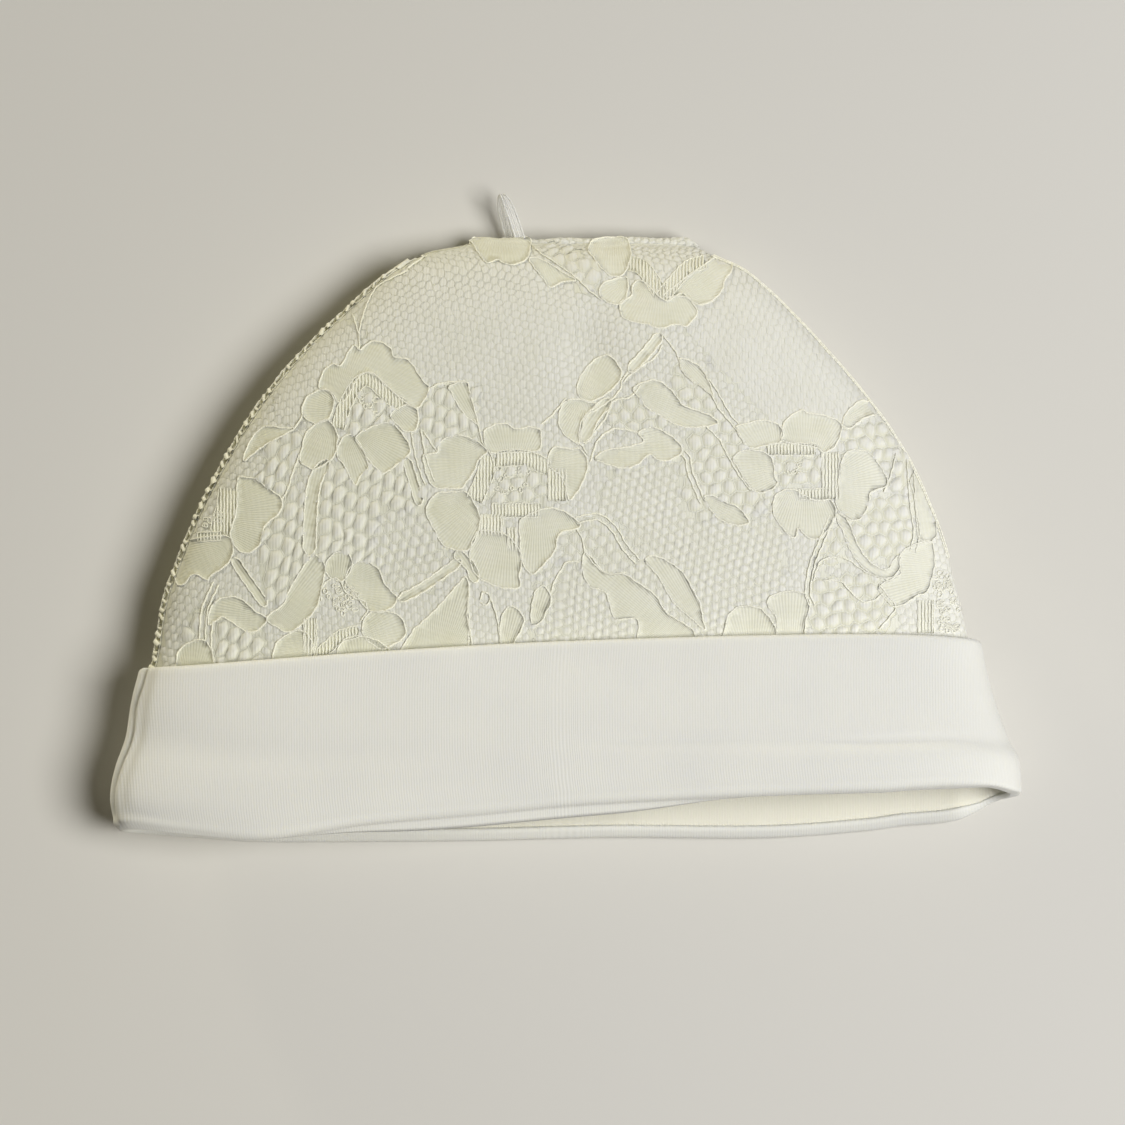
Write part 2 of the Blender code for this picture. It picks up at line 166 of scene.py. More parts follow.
def along_table(rows, columns, name, at):
    """A table's column at places along its first one, on a curve that keeps between its rows."""
    places = np.array([row[0] for row in rows])
    values = np.array([row[columns.index(name)] for row in rows])
    steps = np.diff(values) / np.diff(places)
    slopes = np.zeros(len(values))
    product = steps[:-1] * steps[1:]
    total = np.where(product > 0, steps[:-1] + steps[1:], 1.0)
    slopes[1:-1] = np.where(product > 0, 2 * product / total, 0.0)
    at = np.clip(at, places[0], places[-1])
    step = np.clip(np.searchsorted(places, at) - 1, 0, len(places) - 2)
    span = places[step + 1] - places[step]
    t = (at - places[step]) / span
    return (
        values[step] * (1 + 2 * t) * (1 - t) ** 2
        + slopes[step] * span * t * (1 - t) ** 2
        + values[step + 1] * t * t * (3 - 2 * t)
        + slopes[step + 1] * span * t * t * (t - 1)
    )


def section(name, rise):
    return along_table(SECTIONS, SECTION_COLUMNS, name, rise)


def half_widths(rise):
    """How far the skin reaches to the left and to the right."""
    return section("left", rise) * HALF_WIDTH, section("right", rise) * HALF_WIDTH


def brim_shift(rise, across, bow):
    """How far a place is moved towards the crown by the brim's slope and its bow."""
    fade = np.maximum(0.0, 1 - rise / CUFF_RISE)
    return section("slope", rise) * BRIM_SLOPE * across / 2 + bow * CUFF_HEIGHT * fade


def back_height(rise):
    """Height of the back's skin where it lies flat, over the layers under it."""
    under_cuff = along_table(BACK_LIFT, BACK_COLUMNS, "cuff", rise) * FLAP_OUT
    under_lace = along_table(BACK_LIFT, BACK_COLUMNS, "lace", rise) * LACE_OUT
    return under_cuff + under_lace


def dent_depth(across, rise):
    """How far the front sinks at a place of the crown."""
    depth = np.zeros(np.shape(rise))
    for _, dent_across, dent_rise, half_across, half_rise, share in DENTS:
        away = ((across - dent_across) / half_across) ** 2 + ((rise - dent_rise) / half_rise) ** 2
        depth += share * LOFT * np.exp(-away)
    return depth


def signed_power(value, power):
    return np.sign(value) * np.abs(value) ** power


def skin_point(rise, angle):
    """The skin at a share of its height and an angle round it: 0 is the right fold, 90 degrees the front."""
    rise, angle = np.broadcast_arrays(rise, angle)
    front = np.sin(angle) >= 0
    power = np.where(front, 2 / FRONT_FULLNESS, 2 / BACK_FULLNESS)
    across = signed_power(np.cos(angle), power)
    bulge = np.abs(np.sin(angle)) ** power
    left, right = half_widths(rise)
    x = (right - left) / 2 + across * (right + left) / 2
    bows = [along_table(BRIM_BOW, BRIM_COLUMNS, side, across) for side in ("front", "back")]
    y = rise * SKIN_HEIGHT - ORIGIN_HEIGHT + brim_shift(rise, across, np.where(front, *bows))

    fold = section("fold", rise) * LOFT
    flat_back = fold - (fold - back_height(rise)) * np.minimum(1.0, bulge * BACK_FLATNESS)
    swell = section("front", rise) * LOFT - fold
    lean = 1 + FRONT_LEAN * across * np.maximum(0.0, 1 - rise / CUFF_RISE)
    raised_front = fold + swell * bulge * lean - dent_depth(across, rise) * bulge
    return np.stack([x, y, np.where(front, raised_front, flat_back)], -1)


def unit(vectors):
    return vectors / np.maximum(1e-12, np.linalg.norm(vectors, axis=-1, keepdims=True))


def skin_frame(rise, angle):
    """Points of the skin, their outward normals and the direction towards the crown."""
    low, high = np.maximum(0.0, rise - RISE_STEP), np.minimum(1.0, rise + RISE_STEP)
    upward = skin_point(high, angle) - skin_point(low, angle)
    round_it = skin_point(rise, angle + NORMAL_STEP) - skin_point(rise, angle - NORMAL_STEP)
    return skin_point(rise, angle), unit(np.cross(upward, round_it)), unit(upward)


# Past the last section the cloth goes on round the crown's top fold, from the front and the back
# to where they meet
RIDGE_ROUND = 3.4 * MM
RIDGE_LIFT = RIDGE_HEIGHT + 1.2 * MM
RIDGE_UNEVEN = 0.22
RIDGE_WAVE = 13 * MM
FULL_HEIGHT = SKIN_HEIGHT + RIDGE_ROUND
FLOOR_CLEAR = 0.02 * MM


def layer_point(height, angle, out):
    """Points at a height over the brim's line and a distance outside the skin."""
    height, angle, out = np.broadcast_arrays(height, angle, out)
    rise = np.clip(height / SKIN_HEIGHT, 0.0, 1.0)
    point, normal, upward = skin_frame(rise, angle)
    crest = np.clip((rise - CREST) / (1 - CREST), 0.0, 1.0)
    place = point + normal * out[..., None] + upward * np.minimum(0.0, height)[..., None]
    place[..., 1] += out * crest
    over = np.clip((height - SKIN_HEIGHT) / RIDGE_ROUND, 0.0, 1.0) * math.pi / 2
    if over.max() > 0:
        past = over > 0
        other, other_normal, _ = skin_frame(rise[past], -angle[past])
        facing = other + other_normal * out[past][..., None]
        facing[..., 1] += out[past]
        share = (1 - np.cos(over[past]))[..., None] / 2
        here = place[past] * (1 - share) + facing * share
        uneven = 1 + RIDGE_UNEVEN * ripple(here[..., 0], here[..., 0] * 0.3, RIDGE_WAVE)
        ends = np.minimum(1.0, 3 * np.abs(np.sin(angle[past])))
        here[..., 1] += RIDGE_LIFT * np.sin(over[past]) * ends * uneven
        place[past] = here
    place[..., 2] = np.maximum(place[..., 2], FLOOR_CLEAR)
    return place


# The way round the hat from the front's middle, walked over the right fold and over the left one
WALK_STEPS = 240
WALK_ROWS = 140
WALK_PLACES = 420
ROW_RISES = np.linspace(0, 1, WALK_ROWS)


def way_along(line):
    """The way walked along a line to each of its points."""
    return np.concatenate([[0.0], np.cumsum(np.linalg.norm(np.diff(line, axis=0), axis=1))])


def walk(turns):
    """For rows from the brim to the crown: the length to the back's middle, and angles evenly along it."""
    walked = np.stack([way_along(points) for points in skin_point(ROW_RISES[:, None], turns[None, :])])
    shares = np.linspace(0.0, 1.0, WALK_PLACES)
    angles = np.stack([np.interp(shares * row[-1], row, turns) for row in walked])
    return walked[:, -1], angles


QUARTER = np.linspace(0, 1, WALK_STEPS + 1) ** 2 * math.pi / 2
RIGHTWARD = np.concatenate([QUARTER[::-1], -QUARTER[1:]])
RIGHT_WALK = walk(RIGHTWARD)
LEFT_WALK = walk(math.pi - RIGHTWARD)

MERIDIAN_HEIGHTS = np.linspace(0.0, SKIN_HEIGHT, 300)
MERIDIAN = skin_point(MERIDIAN_HEIGHTS / SKIN_HEIGHT, np.full(300, math.pi / 2))
MERIDIAN_LENGTHS = way_along(MERIDIAN)
CROWN_LENGTH = MERIDIAN_LENGTHS[-1]


def height_at(climbed):
    """The height over the brim after a way climbed along the front's middle."""
    return np.interp(climbed, MERIDIAN_LENGTHS, MERIDIAN_HEIGHTS) + np.maximum(0.0, climbed - CROWN_LENGTH)


def at_height(rows, height):
    """A value given for rows from the brim to the crown, at a height."""
    return np.interp(height / SKIN_HEIGHT, ROW_RISES, rows)


def angle_at(height, walked):
    """The angle after a way walked round the hat from the front's middle, positive to the right."""
    height, walked = np.broadcast_arrays(height, walked)
    row = np.clip(height / SKIN_HEIGHT, 0.0, 1.0) * (WALK_ROWS - 1)
    low_row = np.minimum(row.astype(int), WALK_ROWS - 2)
    row_share = row - low_row
    angle = np.empty(walked.shape)
    for side, (lengths, angles) in ((walked >= 0, RIGHT_WALK), (walked < 0, LEFT_WALK)):
        length = np.interp(row[side], np.arange(WALK_ROWS), lengths)
        place = np.clip(np.abs(walked[side]) / length, 0.0, 1.0) * (WALK_PLACES - 1)
        low_place = np.minimum(place.astype(int), WALK_PLACES - 2)
        share = place - low_place
        rows, parts = low_row[side], row_share[side]
        lower = angles[rows, low_place] * (1 - share) + angles[rows, low_place + 1] * share
        upper = angles[rows + 1, low_place] * (1 - share) + angles[rows + 1, low_place + 1] * share
        angle[side] = lower * (1 - parts) + upper * parts
    return angle


def chart_of(points):
    """Where the camera sees points, in the lace's chart."""
    depth = points[..., 2] * math.cos(VIEW_TILT) - points[..., 1] * math.sin(VIEW_TILT)
    up = points[..., 1] * math.cos(VIEW_TILT) + points[..., 2] * math.sin(VIEW_TILT)
    aimed = np.stack([points[..., 0] - AIM_ACROSS, AIM_UP - up], -1)
    return CHART_MIDDLE + aimed * (VIEW_DISTANCE / (VIEW_DISTANCE - depth) / CHART_STEP)[..., None]


def flat_place(x, y):
    """The rise and the share across of the front's skin over a point of the floor."""
    rise = np.clip((y + ORIGIN_HEIGHT) / SKIN_HEIGHT, 0.0, 1.0)
    for _ in range(4):
        left, right = half_widths(rise)
        across = np.clip((x - (right - left) / 2) / ((right + left) / 2), -FOLD_SHARE, FOLD_SHARE)
        shift = brim_shift(rise, across, along_table(BRIM_BOW, BRIM_COLUMNS, "front", across))
        rise = np.clip((y + ORIGIN_HEIGHT - shift) / SKIN_HEIGHT, 0.0, 1.0)
    return rise, across


LACE_MIDDLE = 2.0 * MM
# The last place towards a fold, as a share of the half width, and the longest step of a search
FOLD_SHARE = 0.9998
SEARCH_STEP = 4 * MM


def front_place(chart):
    """The (height, angle) of the front that the camera sees at points of the chart."""
    chart = np.asarray(chart, float)
    x = AIM_ACROSS + (chart[:, 0] - CHART_MIDDLE) * CHART_STEP
    y = AIM_UP - (chart[:, 1] - CHART_MIDDLE) * CHART_STEP
    for _ in range(7):
        rise, across = flat_place(x, y)
        angle = np.arccos(signed_power(across, FRONT_FULLNESS / 2))
        away = chart - chart_of(layer_point(rise * SKIN_HEIGHT, angle, LACE_MIDDLE))
        step = np.clip(away * CHART_STEP, -SEARCH_STEP, SEARCH_STEP)
        x = x + step[:, 0]
        y = np.minimum(y - step[:, 1], SKIN_HEIGHT - ORIGIN_HEIGHT)
    rise, across = flat_place(x, y)
    angle = np.arccos(signed_power(across, FRONT_FULLNESS / 2))
    above = chart_of(layer_point(rise * SKIN_HEIGHT, angle, LACE_MIDDLE))[:, 1] - chart[:, 1]
    share = np.where(rise >= 1, np.clip(above * CHART_STEP / RIDGE_LIFT, 0, 1), 0.0)
    return rise * SKIN_HEIGHT + RIDGE_ROUND * np.arcsin(share) * 2 / math.pi, angle


def ripple(first, second, wave):
    """A smooth unevenness from -1 to 1 over two lengths, with a typical wave length."""
    a, b = first / wave * 2 * math.pi, second / wave * 2 * math.pi
    return (
        np.sin(0.9 * a + 0.5 * b + 1.3)
        + np.sin(-0.6 * a + 1.1 * b + 4.1)
        + 0.7 * np.sin(1.7 * a - 0.4 * b + 2.2)
        + 0.6 * np.sin(0.8 * a + 1.9 * b + 0.4)
    ) / 3.3


class Patchwork:
    """Points and faces gathered for one piece, with weave coordinates in millimetres for each point."""

    def __init__(self):
        self.points, self.weaves, self.faces = [], [], []
        self.count = 0

    def add(self, points, faces, weave=None):
        points = np.asarray(points, float).reshape(-1, 3)
        weave = points[:, :2] / MM if weave is None else np.asarray(weave, float).reshape(-1, 2)
        self.points.append(points)
        self.weaves.append(weave)
        for group in faces:
            if len(group):
                self.faces.append(np.asarray(group, int) + self.count)
        self.count += len(points)

    def piece(self, name, material):
        mesh = bpy.data.meshes.new(name)
        polygons = [face for group in self.faces for face in group.tolist()]
        mesh.from_pydata(np.concatenate(self.points).tolist(), [], polygons)
        layer = mesh.uv_layers.new(name="weave")
        corners = np.empty(len(mesh.loops), int)
        mesh.loops.foreach_get("vertex_index", corners)
        layer.data.foreach_set("uv", np.concatenate(self.weaves)[corners].ravel().astype(np.float32))
        mesh.materials.append(material)
        mesh.shade_smooth()
        mesh.validate()
        obj = bpy.data.objects.new(name, mesh)
        bpy.context.scene.collection.objects.link(obj)
        return obj


def ringed(rings, weaves):
    """A surface through rings of points, with weave coordinates in metres."""
    work = Patchwork()
    work.add(np.stack(rings), [grid_faces(len(rings), len(rings[0]))], np.stack(weaves) / MM)
    return work


def grid_faces(rows, columns, closed_columns=False, flip=False):
    """Quads over a grid of points given row by row."""
    last = columns if closed_columns else columns - 1
    row, column = np.meshgrid(np.arange(rows - 1) * columns, np.arange(last), indexing="ij")
    after = (column + 1) % columns
    corners = [row + column, row + after, row + columns + after, row + columns + column]
    quads = np.stack(corners, -1).reshape(-1, 4)
    return quads[:, ::-1] if flip else quads


# The lace's dense shapes: the base and the tip of the weave, and the closed outline, in the chart's
# steps with x and y in turn
SHAPE_ROWS = (
    ("a_left_up", (336, 410), (299, 406), (302, 414, 304, 402, 309, 395, 323, 389, 331, 393, 334, 402,
        332, 410, 328, 419, 314, 423)),
    ("a_left_low", (329, 420), (310, 471), (300, 461, 302, 447, 306, 433, 317, 423, 328, 420, 337, 433,
        337, 444, 334, 456, 323, 465, 313, 469)),
    ("a_low", (345, 434), (359, 486), (337, 456, 339, 444, 346, 435, 355, 437, 365, 455, 368, 469, 361,
        475, 355, 485, 349, 475, 344, 465)),
    ("a_right_low", (360, 434), (410, 460), (355, 438, 365, 430, 382, 423, 393, 424, 403, 435, 410, 447,
        408, 455, 396, 465, 384, 473, 376, 468, 368, 459, 362, 449)),
    ("a_right", (391, 404), (421, 432), (390, 416, 396, 409, 407, 405, 417, 410, 418, 421, 415, 430, 405,
        431, 397, 424)),
    ("a_arch", (340, 400), (372, 330), (319, 388, 320, 380, 324, 370, 332, 364, 341, 365, 348, 352, 354,
        345, 360, 350, 365, 345, 373, 341, 383, 343, 391, 349, 394, 357, 404, 358, 412, 364, 417, 372,
        424, 382, 429, 387, 427, 395, 422, 403, 417, 408, 408, 404, 402, 400, 390, 389, 382, 382, 376,
        375, 366, 372, 357, 379, 348, 395, 342, 402, 337, 401, 331, 392)),
    ("leaf_above_b", (482, 432), (453, 381), (449, 386, 466, 382, 470, 393, 477, 419, 478, 424, 466, 416,
        456, 402, 452, 393)),
    ("edge_leaf_up", (230, 450), (296, 428), (243, 461, 247, 447, 255, 433, 266, 426, 283, 428, 294, 428,
        283, 435, 266, 444, 255, 452)),
    ("edge_fan", (220, 512), (286, 504), (237, 480, 241, 477, 255, 479, 266, 487, 280, 497, 282, 505, 278,
        514, 266, 524, 262, 534, 259, 545, 247, 553, 236, 548, 230, 534, 236, 511)),
    ("edge_low", (232, 546), (174, 572), (185, 545, 193, 539, 227, 536, 233, 550, 227, 564, 210, 576, 207,
        580, 193, 574, 182, 585, 175, 578)),
    ("edge_foot", (268, 618), (207, 612), (208, 625, 209, 612, 214, 603, 222, 598, 235, 597, 245, 602,
        256, 612, 267, 619, 256, 631, 245, 631, 233, 623, 222, 617, 214, 622)),
    ("edge_bud", (193, 680), (199, 637), (176, 662, 179, 650, 190, 642, 203, 640, 211, 650, 212, 668, 178,
        674)),
    ("c_leaf", (264, 630), (318, 556), (266, 618, 283, 604, 289, 590, 303, 567, 314, 555, 323, 562, 325,
        570, 321, 590, 317, 606, 306, 620, 289, 632, 275, 626)),
    ("c_top", (338, 590), (340, 550), (325, 570, 328, 559, 337, 552, 348, 553, 352, 564, 349, 573, 342,
        581, 331, 578)),
    ("c_right", (344, 592), (399, 597), (345, 578, 353, 564, 367, 562, 379, 570, 383, 581, 390, 590, 397,
        598, 393, 606, 381, 612, 367, 609, 356, 595, 349, 587)),
    ("c_low_right", (350, 642), (405, 621), (362, 629, 367, 615, 381, 611, 398, 615, 405, 626, 404, 637,
        390, 646, 381, 649, 367, 640)),
    ("c_low", (362, 680), (362, 636), (337, 657, 339, 646, 348, 637, 359, 636, 376, 640, 390, 651, 393,
        665, 365, 672, 340, 670)),
    ("c_low_left", (320, 648), (270, 661), (272, 663, 275, 646, 283, 637, 300, 630, 311, 640, 314, 657,
        314, 668, 272, 672)),
    ("b_left_up", (486, 462), (429, 466), (423, 455, 429, 454, 437, 452, 439, 443, 448, 437, 459, 435,
        470, 438, 481, 444, 487, 452, 479, 459, 474, 471, 467, 481, 461, 488, 446, 488, 434, 487, 427,
        476, 424, 464)),
    ("b_left_low", (484, 500), (440, 548), (426, 508, 436, 494, 452, 492, 466, 492, 474, 503, 480, 518,
        477, 534, 469, 549, 457, 550, 443, 545, 435, 531, 429, 520)),
    ("b_top", (512, 466), (511, 421), (484, 438, 485, 430, 497, 424, 507, 424, 516, 429, 529, 427, 540,
        430, 541, 440, 540, 449, 528, 452, 510, 452, 497, 453, 488, 450)),
    ("b_right", (538, 470), (590, 470), (548, 464, 550, 452, 556, 447, 570, 449, 580, 449, 587, 459, 587,
        470, 583, 481, 577, 492, 569, 500, 566, 488, 560, 475, 553, 470)),
    ("b_low_right", (541, 500), (549, 578), (520, 540, 520, 521, 532, 513, 549, 508, 563, 511, 571, 516,
        580, 524, 576, 529, 565, 531, 558, 536, 555, 550, 545, 563, 533, 574, 526, 569, 521, 558)),
    ("b_low_left", (506, 520), (495, 591), (470, 562, 471, 545, 478, 531, 491, 531, 505, 534, 516, 545,
        522, 559, 519, 576, 520, 587, 505, 588, 491, 584, 477, 576)),
    ("leaf_mass", (440, 660), (468, 576), (404, 656, 412, 632, 420, 624, 434, 611, 446, 598, 458, 584,
        466, 577, 469, 590, 467, 615, 467, 652)),
    ("leaf_low_b", (533, 630), (546, 586), (532, 624, 531, 612, 533, 600, 536, 590, 543, 586, 549, 592,
        551, 602, 546, 612, 541, 622)),
    ("leaf_low_b_2", (503, 655), (514, 605), (503, 648, 500, 635, 501, 620, 505, 610, 512, 606, 520, 612,
        524, 620, 520, 632, 515, 640, 511, 648)),
    ("t_left", (500, 225), (497, 263), (471, 234, 474, 245, 480, 254, 487, 262, 497, 259, 503, 262, 512,
        264, 520, 262, 527, 258, 530, 248, 529, 233, 500, 230)),
    ("t_middle", (540, 252), (556, 292), (529, 257, 540, 258, 551, 264, 563, 272, 576, 280, 565, 281, 557,
        284, 550, 287, 543, 278, 535, 268)),
    ("t_right", (612, 226), (612, 279), (588, 248, 596, 236, 613, 233, 627, 238, 631, 251, 630, 259, 624,
        273, 613, 276, 602, 268, 593, 256)),
    ("d_left_up", (629, 277), (601, 300), (600, 296, 602, 284, 613, 279, 626, 277, 628, 287, 624, 301,
        613, 304)),
    ("d_low", (660, 280), (655, 328), (620, 310, 621, 301, 631, 296, 633, 284, 641, 280, 652, 289, 661,
        298, 669, 300, 683, 293, 697, 310, 694, 318, 686, 326, 675, 324, 661, 328, 647, 324, 635, 322,
        624, 318)),
    ("d_right_up", (666, 304), (732, 262), (663, 296, 677, 284, 691, 273, 703, 265, 719, 255, 731, 262,
        732, 270, 725, 279, 722, 290, 711, 301, 698, 304, 683, 296)),
    ("leaf_under_d", (578, 410), (615, 352), (578, 394, 579, 380, 588, 366, 599, 357, 610, 356, 620, 368,
        621, 377, 613, 388, 599, 398, 588, 401)),
    ("leaf_under_d_2", (590, 390), (566, 448), (566, 401, 560, 410, 559, 424, 565, 435, 575, 442, 579,
        444, 579, 432, 582, 420, 590, 410, 597, 404, 588, 402, 578, 399)),
    ("d_leaf", (625, 388), (717, 426), (633, 388, 655, 380, 672, 391, 683, 405, 696, 410, 711, 416, 717,
        424, 691, 427, 675, 424, 661, 416, 647, 408, 641, 399)),
    ("d_arm", (676, 352), (716, 398), (680, 358, 690, 361, 699, 366, 705, 374, 711, 387, 713, 396, 704,
        388, 692, 381, 684, 373, 681, 365)),
    ("leaf_middle", (588, 454), (684, 446), (595, 458, 607, 450, 627, 447, 644, 441, 638, 433, 652, 427,
        666, 433, 677, 441, 682, 452, 666, 461, 655, 458, 649, 454, 638, 464, 624, 468, 607, 464)),
    ("leaf_right", (698, 496), (751, 524), (704, 497, 714, 496, 728, 503, 739, 508, 749, 522, 739, 525,
        725, 522, 714, 514)),
    ("e_top_left", (775, 462), (757, 419), (736, 427, 745, 424, 764, 420, 781, 427, 781, 441, 767, 445,
        750, 448, 743, 441)),
    ("e_top", (806, 458), (811, 408), (782, 430, 787, 419, 801, 410, 809, 413, 823, 415, 840, 422, 841,
        433, 834, 447, 823, 452, 815, 447, 784, 441)),
    ("e_left", (790, 464), (732, 473), (733, 458, 745, 450, 764, 452, 773, 461, 775, 478, 778, 483, 770,
        490, 756, 492, 745, 480, 739, 469)),
    ("e_right", (830, 486), (888, 480), (840, 472, 843, 458, 851, 450, 868, 452, 879, 464, 887, 478, 886,
        486, 871, 492, 869, 503, 862, 517, 851, 520, 840, 511, 836, 500)),
    ("e_low", (806, 480), (805, 540), (773, 503, 778, 493, 792, 489, 806, 496, 817, 501, 831, 500, 836,
        514, 828, 529, 818, 539, 806, 536, 799, 528, 796, 536, 791, 537, 778, 522, 774, 514)),
    ("leaf_e", (840, 425), (882, 408), (843, 424, 846, 414, 853, 406, 864, 400, 881, 411, 864, 418, 850,
        428)),
    ("edge_right", (950, 575), (880, 592), (879, 587, 893, 578, 901, 573, 899, 559, 904, 550, 921, 542,
        932, 542, 935, 562, 932, 578, 927, 592, 918, 595, 904, 604, 893, 606, 885, 598)),
    ("low_right_1", (790, 660), (790, 590), (767, 604, 773, 595, 792, 591, 806, 595, 810, 606, 806, 620,
        805, 632, 805, 650, 778, 650, 777, 620)),
    ("low_right_2", (752, 660), (750, 606), (726, 623, 731, 612, 742, 606, 759, 608, 767, 615, 773, 623,
        777, 633, 777, 650, 727, 650)),
    ("leaf_low_right", (706, 640), (640, 552), (645, 560, 655, 556, 669, 562, 683, 573, 694, 592, 700,
        604, 703, 620, 705, 630, 691, 618, 675, 604, 666, 590, 658, 576)),
    ("leaf_low_left", (690, 650), (578, 560), (582, 564, 585, 553, 593, 559, 605, 573, 624, 574, 635, 581,
        655, 595, 666, 612, 683, 623, 694, 632, 694, 650, 641, 650, 638, 620, 616, 619, 610, 606, 605,
        592, 591, 587, 584, 576)),
)

# Dense bands between two cords: how wide they are, and their middle line
BANDS = (
    ("a_stem", 13, (328, 460, 316, 478, 311, 505, 309, 556)),
    ("a_stem_right", 9, (406, 458, 413, 480, 420, 505)),
    ("edge_stem", 9, (233, 558, 244, 575, 256, 592, 266, 606)),
    ("b_stem", 9, (398, 600, 416, 591, 432, 581, 447, 570, 461, 560)),
    ("d_stem_left", 10, (661, 334, 645, 354, 629, 371)),
    ("d_stem_low", 12, (610, 400, 594, 416, 583, 442)),
    ("right_edge", 19, (917, 472, 923, 490, 926, 514, 928, 542)),
    ("b_root", 10, (455, 552, 470, 566, 476, 582)),
    ("right_loop", 9, (837, 513, 846, 527, 853, 545, 864, 562, 878, 572, 892, 572, 899, 556)),
)

# Cords with no fill: how far the pair is apart, or 0 for a single one, and the line. Here and in
# the other tables a line's points are given as x and y in turn.
CORDS = (
    ("leaf_to_a", 0, (292, 430, 298, 423, 303, 413)),
    ("a_left", 0, (300, 453, 292, 474, 288, 488, 282, 499)),
    ("a_strip", 10, (416, 430, 419, 449, 423, 465, 430, 484)),
    ("edge_double", 6, (216, 583, 206, 605, 203, 620, 202, 640)),
    ("edge_single", 0, (213, 620, 211, 640, 214, 666)),
    ("b_down", 0, (468, 597, 469, 622, 468, 652)),
    ("b_down_2", 0, (489, 594, 497, 618, 501, 648)),
    ("b_arc", 0, (577, 529, 583, 541, 585, 552, 598, 568, 610, 574, 626, 572)),
    ("b_arc_in", 0, (579, 562, 567, 562, 561, 570, 555, 580, 551, 592)),
    ("b_over", 0, (541, 424, 551, 416, 558, 408, 566, 398)),
    ("b_over_left", 0, (474, 419, 479, 428, 482, 441, 490, 453, 493, 462)),
    ("b_corner", 0, (424, 432, 431, 443, 437, 452)),
    ("d_to_b", 0, (576, 441, 582, 446, 588, 455)),
    ("b_ring", 0, (480, 600, 483, 592, 490, 596, 487, 605, 480, 602)),
    ("t_thread", 0, (529, 240, 538, 250, 552, 260, 568, 271, 580, 281, 590, 291, 602, 300)),
    ("d_left_on", 0, (629, 371, 622, 380, 621, 387, 613, 398, 597, 409, 585, 417, 580, 440)),
    ("arch_link", 0, (430, 388, 438, 384, 449, 382, 466, 381)),
    ("d_left_in", 0, (663, 344, 655, 357, 643, 365, 632, 373, 623, 382)),
    ("d_leaf_top", 0, (641, 385, 630, 397, 613, 401, 606, 417, 595, 431, 585, 444)),
    ("d_right_in", 0, (664, 336, 677, 354, 683, 372, 699, 385, 712, 396, 719, 409, 736, 429, 747, 446)),
    ("d_outer", 0, (699, 366, 708, 378, 716, 389, 731, 415, 739, 424)),
    ("stem_3", 5, (683, 452, 688, 459, 690, 472, 697, 489, 703, 503)),
    ("stem_4", 0, (706, 426, 719, 439, 725, 450, 737, 472, 751, 491)),
    ("right_top", 0, (879, 411, 888, 423, 898, 438)),
    ("right_in", 0, (897, 451, 893, 467, 888, 483, 884, 492)),
    ("right_down", 6, (910, 458, 912, 487, 914, 510, 917, 532, 913, 552)),
    ("right_low", 5, (832, 516, 822, 540, 813, 562, 809, 580, 808, 595, 813, 607)),
    ("right_low_2", 0, (879, 584, 889, 597, 896, 607, 888, 619, 879, 629)),
    ("leaf_middle_top", 0, (590, 462, 598, 440, 613, 429, 628, 430, 640, 433)),
    ("right_round", 0, (813, 581, 820, 562, 832, 557, 847, 559, 868, 573, 893, 581)),
    ("right_round_in", 0, (823, 580, 840, 581, 851, 592, 862, 601, 874, 600, 884, 592)),
    ("t_edge", 0, (407, 268, 430, 252, 452, 246, 472, 243)),
    ("stem_5", 6, (576, 520, 598, 517, 614, 529, 624, 546, 638, 562)),
    ("seam_left", 0, (352, 313, 356, 325, 359, 337, 359, 350)),
    ("seam_left_2", 0, (407, 270, 390, 278, 376, 287, 367, 303, 360, 326, 359, 340)),
    ("c_ring", 0, (321, 601, 321, 590, 326, 582, 334, 578, 341, 582, 344, 590, 353, 597, 366, 602)),
    ("c_ring_low", 0, (366, 602, 367, 612, 360, 621)),
)

# Ladders of upright bars: how wide they are, and their middle line
LADDERS = (
    ("a_arch", 13, (338, 428, 345, 405, 356, 386, 366, 379, 378, 386, 390, 398, 403, 405)),
    ("edge", 20, (229, 488, 225, 511, 219, 533)),
    ("edge_low", 9, (196, 537, 222, 536)),
    ("c_left", 13, (310, 618, 310, 657)),
    ("c_right", 12, (319, 655, 330, 645, 341, 636, 359, 631)),
    ("b_left", 17, (490, 456, 484, 478, 474, 500)),
    ("b_top", 16, (497, 459, 524, 458, 549, 468)),
    ("b_right", 18, (557, 468, 557, 501)),
    ("b_bottom", 14, (491, 510, 541, 510)),
    ("b_low", 22, (492, 514, 491, 536)),
    ("b_low_2", 9, (512, 527, 512, 551)),
    ("d_left", 15, (628, 262, 642, 267, 652, 280, 660, 293)),
    ("d_right", 14, (661, 298, 676, 280, 690, 266, 706, 261)),
    ("e_top", 12, (767, 449, 816, 449)),
    ("e_right", 17, (830, 452, 831, 499)),
    ("e_bottom", 11, (798, 494, 829, 494)),
    ("right", 16, (926, 600, 926, 633)),
)

# Clusters of little knotted rings in the flowers' hearts: the middle, the half sizes and how many
KNOTS = (
    ("edge", 212, 519, 9, 8, 9),
    ("b", 512, 480, 16, 12, 20),
    ("e", 797, 470, 8, 6, 8),
    ("right", 943, 581, 9, 10, 14),
    ("right_low", 949, 608, 10, 24, 34),
    ("c", 341, 600, 16, 15, 26),
    ("a", 367, 406, 9, 9, 9),
)

